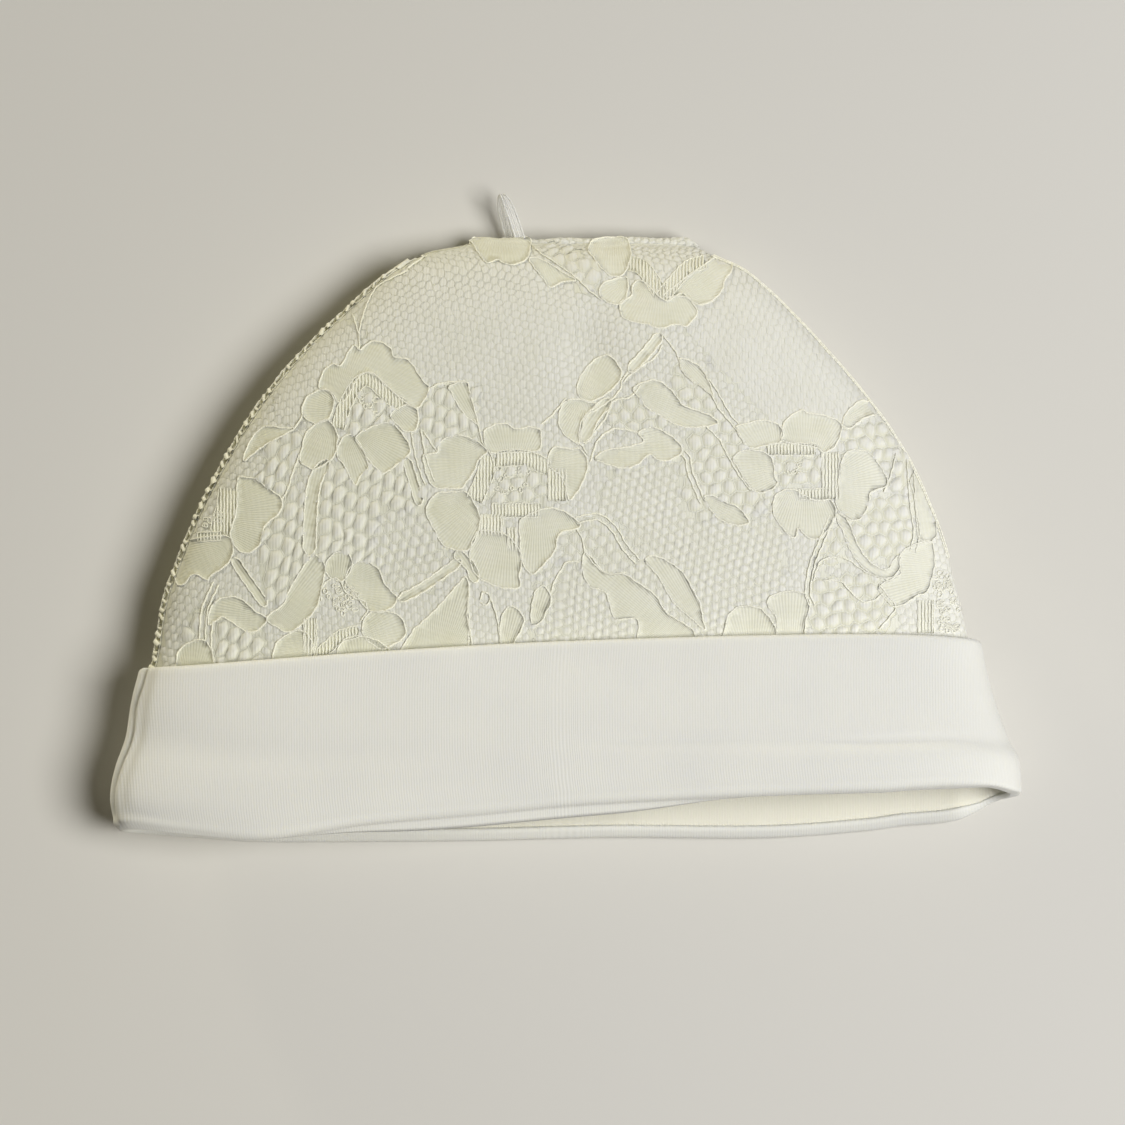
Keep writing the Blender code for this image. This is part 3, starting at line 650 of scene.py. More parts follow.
# The nets: the pitch across and up, the turn in degrees, how high the jersey swells through a
# cell, the thread's half thickness, how uneven the cells are, and how many sides a puff has
NETS = (
    ("slanted", 2.50 * MM, 3.20 * MM, -24.0, 0.54 * MM, 0.09 * MM, 0.120, 12),
    ("round", 2.80 * MM, 2.50 * MM, 8.0, 0.41 * MM, 0.10 * MM, 0.085, 12),
    ("middling", 2.15 * MM, 1.95 * MM, 14.0, 0.30 * MM, 0.09 * MM, 0.080, 6),
    ("clear", 1.80 * MM, 1.62 * MM, 20.0, 0.28 * MM, 0.08 * MM, 0.060, 6),
    ("soft", 1.62 * MM, 1.46 * MM, -16.0, 0.16 * MM, 0.05 * MM, 0.075, 6),
    ("faint", 1.70 * MM, 1.50 * MM, 12.0, 0.07 * MM, 0.035 * MM, 0.070, 6),
)

# Where each net lies: the middle, the half sizes and the turn of a rounded field of the chart
FIELDS = (
    ("faint", 800, 350, 130, 72, 45.0),
    ("clear", 690, 555, 96, 95, 0.0),
    ("clear", 590, 610, 60, 46, 0.0),
    ("slanted", 366, 520, 58, 60, 0.0),
    ("slanted", 366, 410, 26, 26, 0.0),
    ("slanted", 448, 418, 30, 34, 0.0),
    ("slanted", 282, 466, 20, 32, 20.0),
    ("slanted", 284, 548, 24, 58, 0.0),
    ("slanted", 225, 640, 40, 34, 0.0),
    ("middling", 410, 550, 38, 42, 0.0),
    ("middling", 571, 546, 14, 15, 0.0),
    ("middling", 604, 546, 24, 28, 0.0),
    ("faint", 318, 372, 60, 22, -52.0),
    ("round", 566, 256, 22, 12, 20.0),
    ("round", 588, 274, 16, 18, 0.0),
    ("round", 640, 414, 34, 16, 0.0),
    ("round", 700, 400, 14, 40, -40.0),
    ("round", 722, 474, 42, 46, 0.0),
    ("round", 797, 470, 24, 18, 0.0),
    ("round", 520, 486, 34, 22, 0.0),
    ("round", 868, 446, 26, 24, 0.0),
    ("slanted", 905, 480, 9, 34, 0.0),
    ("round", 830, 546, 15, 24, 0.0),
    ("round", 882, 528, 34, 36, 0.0),
    ("round", 852, 606, 46, 34, 0.0),
)
OPEN_NET = "soft"
BACK_NET = "middling"

CHART_SIZE = 1125
LINE_STEP = 2.2


def smooth_line(points, step, closed=False):
    """Points evenly along a smooth curve through a few chosen ones, given as x and y in turn."""
    points = np.reshape(points, (-1, 2)).astype(float)
    if closed:
        padded = np.vstack([points[-1], points, points[0], points[1]])
    else:
        padded = np.vstack([2 * points[0] - points[1], points, 2 * points[-1] - points[-2]])
    t = np.linspace(0, 1, 12, endpoint=False)[:, None]
    pieces = []
    for p0, p1, p2, p3 in zip(padded, padded[1:], padded[2:], padded[3:]):
        square, cube = 2 * p0 - 5 * p1 + 4 * p2 - p3, 3 * p1 - p0 - 3 * p2 + p3
        pieces.append(0.5 * (2 * p1 + (p2 - p0) * t + square * t**2 + cube * t**3))
    return resampled(np.vstack([*pieces, padded[-2]]), step)


def resampled(line, step):
    """The same line with points a step apart, its first and last kept."""
    walked = way_along(line)
    count = max(3, int(round(walked[-1] / step)) + 1)
    places = np.linspace(0, walked[-1], count)
    return np.stack([np.interp(places, walked, line[:, k]) for k in (0, 1)], -1)


def leftward(line):
    """Directions across a line of the chart, to its left."""
    ahead = unit(np.gradient(line, axis=0))
    return np.stack([ahead[:, 1], -ahead[:, 0]], -1)


def band_outline(width, points, taper=0.35):
    """A closed outline round a middle line, drawn in at its ends."""
    line = smooth_line(points, LINE_STEP)
    share = np.linspace(0, 1, len(line))
    half = width / 2 * np.minimum(1.0, taper + np.minimum(share, 1 - share) * 8)[:, None]
    aside = leftward(line) * half
    return np.vstack([line + aside, (line - aside)[::-1]])


def inside(points, outline):
    """Which points of the chart lie in a closed outline."""
    x, y = points[:, 0], points[:, 1]
    odd = np.zeros(len(points), bool)
    for (x0, y0), (x1, y1) in zip(outline, np.roll(outline, -1, axis=0)):
        if y0 != y1:
            crosses = (y0 > y) != (y1 > y)
            odd ^= crosses & (x < (x1 - x0) * (y - y0) / (y1 - y0) + x0)
    return odd


def dense_shapes():
    """Every dense shape of the lace: (name, outline, base and tip of its weave)."""
    shapes = []
    for name, base, tip, points in SHAPE_ROWS:
        outline = smooth_line(points, LINE_STEP, closed=True)[:-1]
        shapes.append((name, outline, np.array(base, float), np.array(tip, float)))
    for name, width, points in BANDS:
        base, tip = np.array(points[:2], float), np.array(points[-2:], float)
        shapes.append((name, band_outline(width, points), base * 4 - tip * 3, tip))
    return shapes


def painted(cover, outline, value):
    """Marks the places of a chart-sized cover that an outline holds."""
    low = np.maximum(0, np.floor(outline.min(0)).astype(int))
    high = np.minimum(CHART_SIZE - 1, np.ceil(outline.max(0)).astype(int))
    x, y = np.meshgrid(np.arange(low[0], high[0] + 1), np.arange(low[1], high[1] + 1))
    places = np.stack([x.ravel(), y.ravel()], -1)
    held = places[inside(places.astype(float), outline)]
    cover[held[:, 1], held[:, 0]] = value


def looked_up(cover, chart):
    place = np.clip(np.rint(chart).astype(int), 0, CHART_SIZE - 1)
    return cover[place[..., 1], place[..., 0]]


DENSE, LADDER = 1, 2
SHAPES = dense_shapes()
LADDER_OUTLINES = [band_outline(width, points, taper=1.0) for _, width, points in LADDERS]


def chart_cover():
    cover = np.zeros((CHART_SIZE, CHART_SIZE), np.int8)
    for outline in LADDER_OUTLINES:
        painted(cover, outline, LADDER)
    for _, outline, _, _ in SHAPES:
        painted(cover, outline, DENSE)
    return cover


def turned(x, y, degrees):
    """The two coordinates of a place turned round the middle."""
    cosine, sine = math.cos(math.radians(degrees)), math.sin(math.radians(degrees))
    return x * cosine - y * sine, x * sine + y * cosine


def chart_nets():
    """Which net lies at each place of the chart, as a place in NETS."""
    names = [net[0] for net in NETS]
    nets = np.full((CHART_SIZE, CHART_SIZE), names.index(OPEN_NET), np.int8)
    y, x = np.mgrid[0:CHART_SIZE, 0:CHART_SIZE]
    for net, middle_x, middle_y, half_long, half_short, turn in FIELDS:
        long_way, short_way = turned(x - middle_x, y - middle_y, -turn)
        nets[(long_way / half_long) ** 4 + (short_way / half_short) ** 4 < 1] = names.index(net)
    return nets


# How far inside a dense shape its nets stop, and how wide a cord presses the jersey, in the
# chart's steps
DEEP_STEPS = ((5, 0), (-5, 0), (0, 5), (0, -5), (4, 4), (4, -4), (-4, 4), (-4, -4))
CORD_REACH = 7.0


def deep_cover(cover):
    """The covered places that lie well inside the dense shapes."""
    deep = cover > 0
    for across, down in DEEP_STEPS:
        deep &= np.roll(cover, (down, across), (0, 1)) > 0
    return deep


def pressed_places(cover):
    """Where the jersey can't swell: under the covered places and under single cords."""
    held = cover.copy()
    for _, apart, points in CORDS:
        painted(held, band_outline(apart + CORD_REACH, points, taper=1.0), DENSE)
    return held > 0


COVER = chart_cover()
DEEP = deep_cover(COVER)
PRESSED = pressed_places(COVER)
NET_MAP = chart_nets()

# Distances outside the skin at which the lace's parts lie
GROUND_OUT = 1.72 * MM
THREAD_OUT = 1.80 * MM
LADDER_OUT = 1.83 * MM
FILL_EDGE_OUT = 1.85 * MM
FILL_OUT = 1.91 * MM
CORD_OUT = 1.91 * MM
BAR_OUT = 1.91 * MM
SKIRT_OUT = 1.66 * MM
LACE_FOOT = SEAM_HEIGHT + 0.6 * MM


# In the chart's steps: how close the points inside a shape are, how far its edge is rounded, and the
# waves of its swelling
FILL_STEP = 5.5
FILL_ROUND = 4.0
FILL_WAVE = 46.0
FILL_UNEVEN = 0.10 * MM


def filled_shape(outline):
    """Triangles over an outline, with points inside it, and each point's distance from its edge."""
    low, high = outline.min(0), outline.max(0)
    x, y = np.meshgrid(np.arange(low[0], high[0], FILL_STEP), np.arange(low[1], high[1], FILL_STEP * 0.87))
    x[1::2] += FILL_STEP / 2
    spots = np.stack([x.ravel(), y.ravel()], -1)
    spots = spots[inside(spots, outline)]
    spots = spots[from_outline(spots, outline) > FILL_STEP * 0.5]
    vertices = [Vector(point) for point in np.vstack([outline, spots])]
    found, _, faces, *_ = delaunay_2d_cdt(vertices, [], [list(range(len(outline)))], 1, 1e-5)
    found = np.array([tuple(vertex) for vertex in found])
    triangles = [(face[0], face[k], face[k + 1]) for face in faces for k in range(1, len(face) - 1)]
    return found, np.array(triangles, int), from_outline(found, outline)


def from_outline(points, outline):
    """How far points are from the nearest one of an outline."""
    return np.linalg.norm(points[:, None] - outline[None], axis=2).min(1)


# How far behind its base a fan of threads begins, as a share of its length, and how far behind and
# past a ladder's first point its own threads run, in the chart's steps
FAN_ROOT = 0.4
LADDER_WEAVE = ((0, 90), (0, 30))


def weave_of(points, base, tip):
    """Weave coordinates in millimetres: round the fan from behind the base, and along it."""
    length = np.linalg.norm(tip - base)
    ahead = (tip - base) / length
    start = base - ahead * length * FAN_ROOT
    along = (points - start) @ ahead
    aside = (points - start) @ np.array([-ahead[1], ahead[0]])
    fan = np.arctan2(aside, np.maximum(along, 1.0)) * length
    return np.stack([fan, along], -1) * CHART_STEP / MM


def lace_fill(side):
    """The dense parts of the lace: thin swelling plates with rounded edges, and the ladders' ground.

    Side 1 is the front, and -1 the back, which mirrors it.
    """
    plates = [(outline, base, tip) for _, outline, base, tip in SHAPES]
    behind, past = LADDER_WEAVE
    plates += [(line, line[0] - behind, line[0] + past) for line in LADDER_OUTLINES]
    filled = [filled_shape(outline) for outline, _, _ in plates]
    charts, gaps = [], []
    for (found, _, gap), (outline, _, _) in zip(filled, plates):
        charts.append(np.vstack([found, outline]))
        gaps.append(np.append(gap, np.full(len(outline), -1.0)))
    chart, gaps = np.vstack(charts), np.concatenate(gaps)
    swell = np.sqrt(np.clip(gaps / FILL_ROUND, 0, 1))
    out = FILL_EDGE_OUT + (FILL_OUT - FILL_EDGE_OUT) * swell
    out += swell * ripple(chart[:, 0], chart[:, 1], FILL_WAVE) * FILL_UNEVEN
    out[sum(len(part) for part in charts[: len(SHAPES)]) :] = LADDER_OUT
    out = np.where(gaps < 0, SKIRT_OUT, out)
    height, angle = front_place(chart)
    points = layer_point(np.maximum(height, LACE_FOOT), angle * side, out)
    work, start = Patchwork(), 0
    for (found, triangles, _), (outline, base, tip), part in zip(filled, plates, charts):
        # The plate's own outline points come first in the triangulation
        ring = np.arange(len(outline))
        after = np.roll(ring, -1)
        skirt = np.stack([ring, ring + len(found), after + len(found), after], -1)
        facing = outline_turn(outline) * side
        faces = [triangles if side > 0 else triangles[:, ::-1], skirt if facing < 0 else skirt[:, ::-1]]
        work.add(points[start : start + len(part)], faces, weave_of(part, base, tip))
        start += len(part)
    return work


def outline_turn(outline):
    """1 where an outline goes round one way in the chart, -1 the other way."""
    after = np.roll(outline, -1, axis=0)
    return math.copysign(1.0, (outline[:, 0] * after[:, 1] - after[:, 0] * outline[:, 1]).sum())


def tube(work, line, facing, radius, sides, closed=False, flat=1.0):
    """A cord along a line: rings of points whose radius may change on the way."""
    if closed:
        ahead = unit(np.roll(line, -1, axis=0) - np.roll(line, 1, axis=0))
    else:
        ahead = unit(np.gradient(line, axis=0))
    across = unit(np.cross(ahead, facing))
    upright = np.cross(across, ahead)
    turns = (2 * math.pi * np.arange(sides) / sides)[:, None]
    rim = np.cos(turns) * across[:, None] + np.sin(turns) * upright[:, None] * flat
    rings = line[:, None] + rim * np.asarray(radius)[:, None, None]
    count = len(line)
    weave = np.stack([np.repeat(way_along(line) / MM, sides), np.tile(np.arange(sides) / sides, count)], -1)
    faces = grid_faces(count, sides, closed_columns=True, flip=True)
    if closed:
        last = (count - 1) * sides + np.arange(sides)
        first = np.arange(sides)
        faces = np.vstack([faces, np.stack([last, first, np.roll(first, -1), np.roll(last, -1)], -1)])
    work.add(rings, [faces], weave)


CORD_RADIUS = 0.175 * MM
CORD_FLATNESS = 0.62
CORD_WAVER = 0.06 * MM
CORD_LIFT = 0.08 * MM
CORD_WAVE = 5 * MM
ROUND_REACH = 80 * MM
CORD_TIP = 0.35
BEAD_STEP = 1.15 * MM


def cord_lines():
    """Every outline cord of the lace: (points, closed, radius)."""
    lines = [(outline, True, CORD_RADIUS) for _, outline, _, _ in SHAPES]
    for _, apart, points in CORDS:
        line = smooth_line(points, LINE_STEP)
        shifts = (apart / 2, -apart / 2) if apart else (0.0,)
        lines += [(line + leftward(line) * shift, False, CORD_RADIUS) for shift in shifts]
    return lines


# The ladders' bars: how far apart they are, and the shortest, in the chart's steps
BAR_STEP = 3.3
SHORTEST_BAR = 2.5
BAR_RADIUS = 0.20 * MM
LADDER_CORD = CORD_RADIUS * 0.8


def ladder_lines():
    """The upright bars of the ladders and the cords along their two edges."""
    lines = []
    for outline in LADDER_OUTLINES:
        half = len(outline) // 2
        lines += [(outline[:half], False, LADDER_CORD), (outline[half:], False, LADDER_CORD)]
        for x in np.arange(outline[:, 0].min() + 1.2, outline[:, 0].max(), BAR_STEP):
            crossings = []
            for (x0, y0), (x1, y1) in zip(outline, np.roll(outline, -1, axis=0)):
                if (x0 > x) != (x1 > x):
                    crossings.append(y0 + (x - x0) * (y1 - y0) / (x1 - x0))
            crossings.sort()
            for top, bottom in zip(crossings[::2], crossings[1::2]):
                if bottom - top > SHORTEST_BAR:
                    lines.append((resampled(np.array([(x, top), (x, bottom)]), 4.0), False, BAR_RADIUS))
    return lines


# How far the knots' little rings reach, in the chart's steps
KNOT_REACH = (1.5, 3.4)
KNOT_CORD = CORD_RADIUS * 0.85
KNOT_SEED = 11


def knot_lines():
    """Little rings, tangled in the flowers' hearts."""
    rng = np.random.default_rng(KNOT_SEED)
    lines = []
    turn = np.linspace(0, 2 * math.pi, 9)[:-1]
    for _, x, y, half_x, half_y, count in KNOTS:
        for _ in range(count):
            middle = np.array([x + half_x * rng.uniform(-1, 1), y + half_y * rng.uniform(-1, 1)])
            wide, tall = rng.uniform(*KNOT_REACH, 2)
            ring = middle + np.stack([np.cos(turn) * wide, np.sin(turn) * tall], -1)
            lines.append((ring, True, KNOT_CORD))
    return lines


def laid_cords(lines, out, side, sides, beads, step=None, work=None):
    """Tubes along chart lines, laid on the lace: beads is how uneven they are."""
    work = work or Patchwork()
    if step:
        lines = [(resampled(line, step), closed, radius) for line, closed, radius in lines]
    height, angle = front_place(np.vstack([line for line, _, _ in lines]))
    height = np.maximum(height, LACE_FOOT)
    lift = out + ripple(height, angle * ROUND_REACH, CORD_WAVE) * CORD_LIFT
    points = layer_point(height, angle * side, lift)
    _, normals, _ = skin_frame(np.clip(height / SKIN_HEIGHT, 0, 1), angle * side)
    start = 0
    for line, closed, radius in lines:
        end = start + len(line)
        part = points[start:end]
        walked = way_along(part)
        swell = 1 + beads * np.sin(walked * 2 * math.pi / BEAD_STEP)
        aside = unit(np.cross(unit(np.gradient(part, axis=0)), normals[start:end]))
        part = part + aside * (CORD_WAVER * np.sin(walked * math.pi / BEAD_STEP))[:, None]
        if not closed:
            ends = np.minimum(np.arange(len(line)), np.arange(len(line))[::-1])
            swell = swell * np.where(ends == 0, CORD_TIP, 1.0)
        tube(work, part, normals[start:end], radius * swell, sides, closed, CORD_FLATNESS)
        start = end
    return work


WALK_REACH = 185 * MM
FULL_CLIMB = CROWN_LENGTH + RIDGE_ROUND
LATTICE_LIFT = CROWN_LENGTH / 2


def net_lattice(net, seed):
    """Cells of one net over the whole lace: their middles and corners as (walked, climbed)."""
    _, pitch, row, turn, _, _, jitter, _ = net
    rng = np.random.default_rng(seed)
    reach = max(WALK_REACH, FULL_CLIMB)
    columns, rows = int(reach / pitch) + 2, int(reach / row) + 2
    i = np.arange(-columns - rows // 2, columns + rows // 2 + 1)
    j = np.arange(-rows, rows + 1)
    i, j = np.meshgrid(i, j, indexing="ij")

    def shifted(share):
        across, climbed = turned((i + share + (j + share) / 2) * pitch, (j + share) * row, turn)
        return np.stack([across, climbed + LATTICE_LIFT], -1)

    up, down = (shifted(share) + rng.normal(0, jitter * pitch, (*i.shape, 2)) for share in (1 / 3, 2 / 3))
    return shifted(0), up, down


def lace_place(spots):
    """(height, angle) for (walked, climbed) places, and whether they lie on the lace."""
    walked, climbed = spots[..., 0], spots[..., 1]
    height = height_at(np.clip(climbed, 0, FULL_CLIMB))
    angle = angle_at(height, walked)
    half = np.where(walked >= 0, at_height(RIGHT_WALK[0], height), at_height(LEFT_WALK[0], height))
    on_lace = (climbed < FULL_CLIMB) & (height > LACE_FOOT) & (np.abs(walked) < half)
    return height, angle, on_lace


FOLD_EDGE = -0.22


def seen_chart(height, angle):
    """Chart places of the lace, taking the mirrored front's for the back."""
    front = np.sin(angle) > FOLD_EDGE
    mirrored = np.where(front, angle, -angle)
    return chart_of(layer_point(height, mirrored, LACE_MIDDLE)), front


NET_STOP = 0.9 * MM


def kept_cells(net, index, middle):
    """Which cells of a net are there: in its own fields, and not under the dense parts."""
    height, angle, on_lace = lace_place(middle)
    chart, front = seen_chart(height, angle)
    own = np.where(front, looked_up(NET_MAP, chart) == index, net[0] == BACK_NET)
    free = ~looked_up(DEEP, chart)
    from_fold = middle[..., 0] + left_edge(height)
    closed = (from_fold > EDGE_STRIP + NET_STOP) | (from_fold < -BACK_STRIP - NET_STOP)
    return on_lace & own & free & closed, front


def seen_edges(walk_rows):
    """For each row of a walk, the way to where the camera sees the skin turn away."""
    lengths, angles = walk_rows
    points, normals, _ = skin_frame(ROW_RISES[:, None], angles)
    facing = (normals * (CAMERA_PLACE - points)).sum(-1) > 0
    last = WALK_PLACES - 1 - np.argmax(facing[:, ::-1], axis=1)
    return lengths * last / (WALK_PLACES - 1)


CAMERA_UP = np.array([0.0, math.cos(VIEW_TILT), math.sin(VIEW_TILT)])
CAMERA_AWAY = np.array([0.0, -math.sin(VIEW_TILT), math.cos(VIEW_TILT)])
CAMERA_PLACE = np.array([AIM_ACROSS, 0.0, 0.0]) + CAMERA_UP * AIM_UP + CAMERA_AWAY * VIEW_DISTANCE
LEFT_EDGES, RIGHT_EDGES = (
    np.convolve(np.pad(seen_edges(rows), 4, mode="edge"), np.ones(9) / 9, mode="valid")
    for rows in (LEFT_WALK, RIGHT_WALK)
)


def left_edge(height):
    """The way walked from the front's middle to the lace's edge on the left."""
    return at_height(LEFT_EDGES, height)


NET_SEED = 100


def net_pieces(threads, puffs):
    """The nets' threads, and the jersey's puffs swelling through their cells."""
    for index, net in enumerate(NETS):
        _, _, _, _, puff, thread, _, sides = net
        middle, up, down = net_lattice(net, NET_SEED + index)
        keep, front = kept_cells(net, index, middle)
        keep[0] = keep[-1] = keep[:, 0] = keep[:, -1] = False
        # Each cell owns three of its six edges, shared with the neighbours named here
        edges = (
            (up, neighbours(down, -1, 0), neighbours(keep, 0, 1)),
            (neighbours(down, -1, 0), neighbours(up, -1, 0), neighbours(keep, -1, 1)),
            (up, neighbours(down, 0, -1), neighbours(keep, 1, 0)),
        )
        starts = np.vstack([start[keep | other] for start, _, other in edges])
        ends = np.vstack([end[keep | other] for _, end, other in edges])
        net_threads(threads, starts, ends, thread)
        i, j = np.nonzero(keep & front)
        round_it = ((up, 0, 0), (down, -1, 0), (up, -1, 0), (down, -1, -1), (up, 0, -1), (down, 0, -1))
        net_puffs(puffs, np.stack([corner[i + a, j + b] for corner, a, b in round_it], 1), puff, sides)


def neighbours(array, a, b):
    """The values of the cells a columns and b rows on."""
    return np.roll(array, (-a, -b), (0, 1))


THREAD_SECTION = ((1.25, -0.55), (0.0, 0.95), (-1.25, -0.55))


def net_threads(work, starts, ends, thread):
    """Flat three-sided threads between the corners of a net's cells."""
    spots = np.stack([starts, ends], 1)
    height, angle, on_lace = lace_place(spots)
    chart, _ = seen_chart(height, angle)
    shown = on_lace.all(1) & (looked_up(COVER, chart) == 0).any(1)
    height, angle = height[shown], angle[shown]
    line = layer_point(height, angle, THREAD_OUT)
    _, normal, _ = skin_frame(np.clip(height / SKIN_HEIGHT, 0, 1), angle)
    ahead = unit(line[:, 1] - line[:, 0])[:, None]
    across = unit(np.cross(ahead, normal))
    rim = np.stack([across * u + normal * v for u, v in THREAD_SECTION], 2) * thread
    points = line[:, :, None] + rim
    base = np.arange(len(points))[:, None, None] * 6
    quads = np.array([(0, 3, 4, 1), (1, 4, 5, 2)])[None]
    work.add(points, [(base + quads).reshape(-1, 4)], np.repeat(line[:, :, None, :2] / MM, 3, 2))


# Rings of a puff: how far out they lie, and how high they rise
PUFF_RINGS = ((1.00, 0.00), (0.78, 0.26), (0.48, 0.76))
SMALL_PUFF_RINGS = ((1.00, 0.00), (0.58, 0.62))
PUFF_LEAN = np.array([0.13, 0.16])
PUFF_SHARES = (0.6, 1.35)
PUFF_UNEVEN = 0.35
PUFF_WAVE = 11 * MM
PRESSED_PUFF = 0.04 * MM
SHOWN_PUFF = 0.30 * MM
# The jersey swells least here, at the crown's upper left
CALM_MIDDLE = np.array([440, 287])
CALM_REACH = np.array([125, 68])
CALMING = 0.75


def net_puffs(work, corners, puff, sides):
    """Low domes of jersey, one in each cell, from its six corners."""
    middle = corners.mean(1, keepdims=True)
    rim = corners - middle
    if sides > 6:
        halfway = (rim + np.roll(rim, -1, axis=1)) / 2
        rim = np.stack([rim, halfway], 2).reshape(len(rim), 12, 2)
    rings = PUFF_RINGS if sides > 6 else SMALL_PUFF_RINGS
    size = np.clip(1 + PUFF_UNEVEN * ripple(middle[:, 0, 0], middle[:, 0, 1], PUFF_WAVE), *PUFF_SHARES)
    reach = np.linalg.norm(rim, axis=2).mean(1)[:, None, None]
    spots = [middle + rim * share + PUFF_LEAN * reach * (1 - share) for share, _ in rings]
    spots.append(middle + PUFF_LEAN * reach)
    lifts = [np.full(rim.shape[:2], lift) for _, lift in rings] + [np.ones((len(rim), 1))]
    spots = np.concatenate(spots, 1)
    lift = np.concatenate(lifts, 1) * size[:, None]
    height, angle, _ = lace_place(spots)
    chart, _ = seen_chart(height, angle)
    under = looked_up(PRESSED, chart)
    free = 1 - CALMING * np.exp(-(((chart - CALM_MIDDLE) / CALM_REACH) ** 2).sum(-1))
    swell = puff * lift * free
    out = GROUND_OUT + np.where(under, np.minimum(swell, PRESSED_PUFF), swell)
    points = layer_point(height, angle, out)
    count, around = rim.shape[:2]
    top = len(rings) * around
    quads = grid_faces(len(rings), around, closed_columns=True)
    last = top - around + np.arange(around)
    tips = np.stack([last, np.roll(last, -1), np.full(around, top)], -1)
    base = np.arange(count)[:, None, None] * (top + 1)
    faces = [(base + quads).reshape(-1, 4)[:, ::-1], (base + tips).reshape(-1, 3)[:, ::-1]]
    # Each point's rise in its puff goes into the weave's second coordinate, which paints the net's yellower
    # tone and shade at the feet of high puffs; low and calmed puffs keep the top's colour
    shown = min(1.0, puff / SHOWN_PUFF) ** 2 * free
    weave = np.stack([spots[..., 0] / MM, lift * shown + 0.8 * (1 - shown)], -1)
    work.add(points, faces, weave)


# The lace's edge along the left fold: how wide its open strips are in front and behind, where it
# ends, and how its cords stand and lie
EDGE_STRIP = 1.25 * MM
BACK_STRIP = 1.10 * MM
EDGE_TOP = 0.975
EDGE_CLOSING = 6 * MM
EDGE_STEP = 0.34 * MM
EDGE_HOLE = 1.60 * MM
EDGE_OUT = 2.25 * MM
EDGE_CORD = 0.27 * MM
EDGE_CORD_CLOSING = 5 * MM
SCALLOP_STAND = 0.12 * MM
WANDER_STAND = 0.16 * MM
WANDER_WAVE = 9 * MM
SEAM_CORD = 0.15 * MM
SEAM_LIFT = 0.10 * MM
STITCH_SWELL = 0.25
# The bars between them: half their thickness, and how uneven it is over long and short ways
BAR_THICKNESS = 0.48 * MM
BAR_UNEVEN = 0.30 * MM
BAR_WAVE = 27 * MM
BAR_BEADS = 0.13 * MM
# The two cords along the right fold: how far out they lie, and how far they wander
RIGHT_CORDS = ((2.05 * MM, 0.12 * MM), (1.9 * MM, 0.5 * MM))
RIGHT_CORDS_FOOT = 0.42
RIGHT_CORDS_INSET = 0.6 * MM
RIGHT_CORDS_WAVE = 17 * MM
RIGHT_BEADS = 5400
GROUND_COLUMNS = 260
GROUND_ROWS = 90


def strip_share(height):
    """How far the lace's edge is open at a height: it closes towards the crown's top."""
    return np.clip((SKIN_HEIGHT * EDGE_TOP - height) / EDGE_CLOSING, 0.0, 1.0)


def lace_ground():
    """The lace's fine ground, from the left fold over the front and the back, open along that fold."""
    shares = np.linspace(0, 1, GROUND_COLUMNS)
    rings, weaves = [], []
    for height in np.linspace(LACE_FOOT - 1 * MM, FULL_HEIGHT, GROUND_ROWS):
        right, left = at_height(RIGHT_WALK[0], height), at_height(LEFT_WALK[0], height)
        front, back = EDGE_STRIP * strip_share(height), BACK_STRIP * strip_share(height)
        way = shares * (right + left - front - back) - (left_edge(height) - front)
        walked = np.where(way > right, way - right - left, way)
        angle = angle_at(np.full(way.shape, height), walked)
        rings.append(layer_point(height, angle, GROUND_OUT))
        weaves.append(np.stack([way, np.full(len(way), height)], -1))
    return ringed(rings, weaves)


def edge_lace():
    """The lace's edge along the left fold: it stands off the jersey, with holes between two cords."""
    work = Patchwork()
    heights = np.arange(LACE_FOOT, SKIN_HEIGHT * EDGE_TOP, EDGE_STEP)
    facing = np.tile([0.0, 0.0, 1.0], (len(heights), 1))
    stitches = 1 + STITCH_SWELL * np.sin(heights * 2 * math.pi / BEAD_STEP)
    wander = ripple(heights, heights * 0.3, WANDER_WAVE)
    scallop = np.abs(np.sin(heights * math.pi / EDGE_HOLE))
    edge = angle_at(heights, -left_edge(heights))
    closing = np.clip((heights[-1] - heights) / EDGE_CORD_CLOSING, 0.0, 1.0)
    stand = (EDGE_OUT - GROUND_OUT + SCALLOP_STAND * scallop + WANDER_STAND * wander) * closing
    tube(work, layer_point(heights, edge, GROUND_OUT + stand), facing, EDGE_CORD * stitches, 5)
    for strip in (EDGE_STRIP, -BACK_STRIP):
        angle = angle_at(heights, strip * strip_share(heights) - left_edge(heights))
        seam = layer_point(heights, angle, GROUND_OUT + SEAM_LIFT)
        tube(work, seam, facing, SEAM_CORD * stitches, 5)
        for k, height in enumerate(np.arange(heights[0], heights[-1] - EDGE_HOLE, EDGE_HOLE)):
            way = np.linspace(0, 1, 5)
            up = height + EDGE_HOLE * (0.3 * math.sin(k * 2.4) + 0.5) * way
            along = -left_edge(up) + strip * strip_share(up) * (1 - way)
            line = layer_point(up, angle_at(up, along), GROUND_OUT + np.interp(height, heights, stand) * way)
            thick = BAR_THICKNESS + BAR_UNEVEN * ripple(height, 0.0, BAR_WAVE) + BAR_BEADS * math.sin(k * 1.7)
            tube(work, line, facing[:5], np.full(5, thick), 5)
    heights = np.arange(SKIN_HEIGHT * RIGHT_CORDS_FOOT, SKIN_HEIGHT * EDGE_TOP, EDGE_STEP)
    for out, wave in RIGHT_CORDS:
        way = at_height(RIGHT_EDGES, heights) - RIGHT_CORDS_INSET
        way = way - wave * (1 + ripple(heights, heights, RIGHT_CORDS_WAVE))
        line = layer_point(heights, angle_at(heights, way), out)
        beads = 1 + STITCH_SWELL * np.sin(heights * RIGHT_BEADS)
        tube(work, line, facing[: len(heights)], SEAM_CORD * beads, 5)
    return work


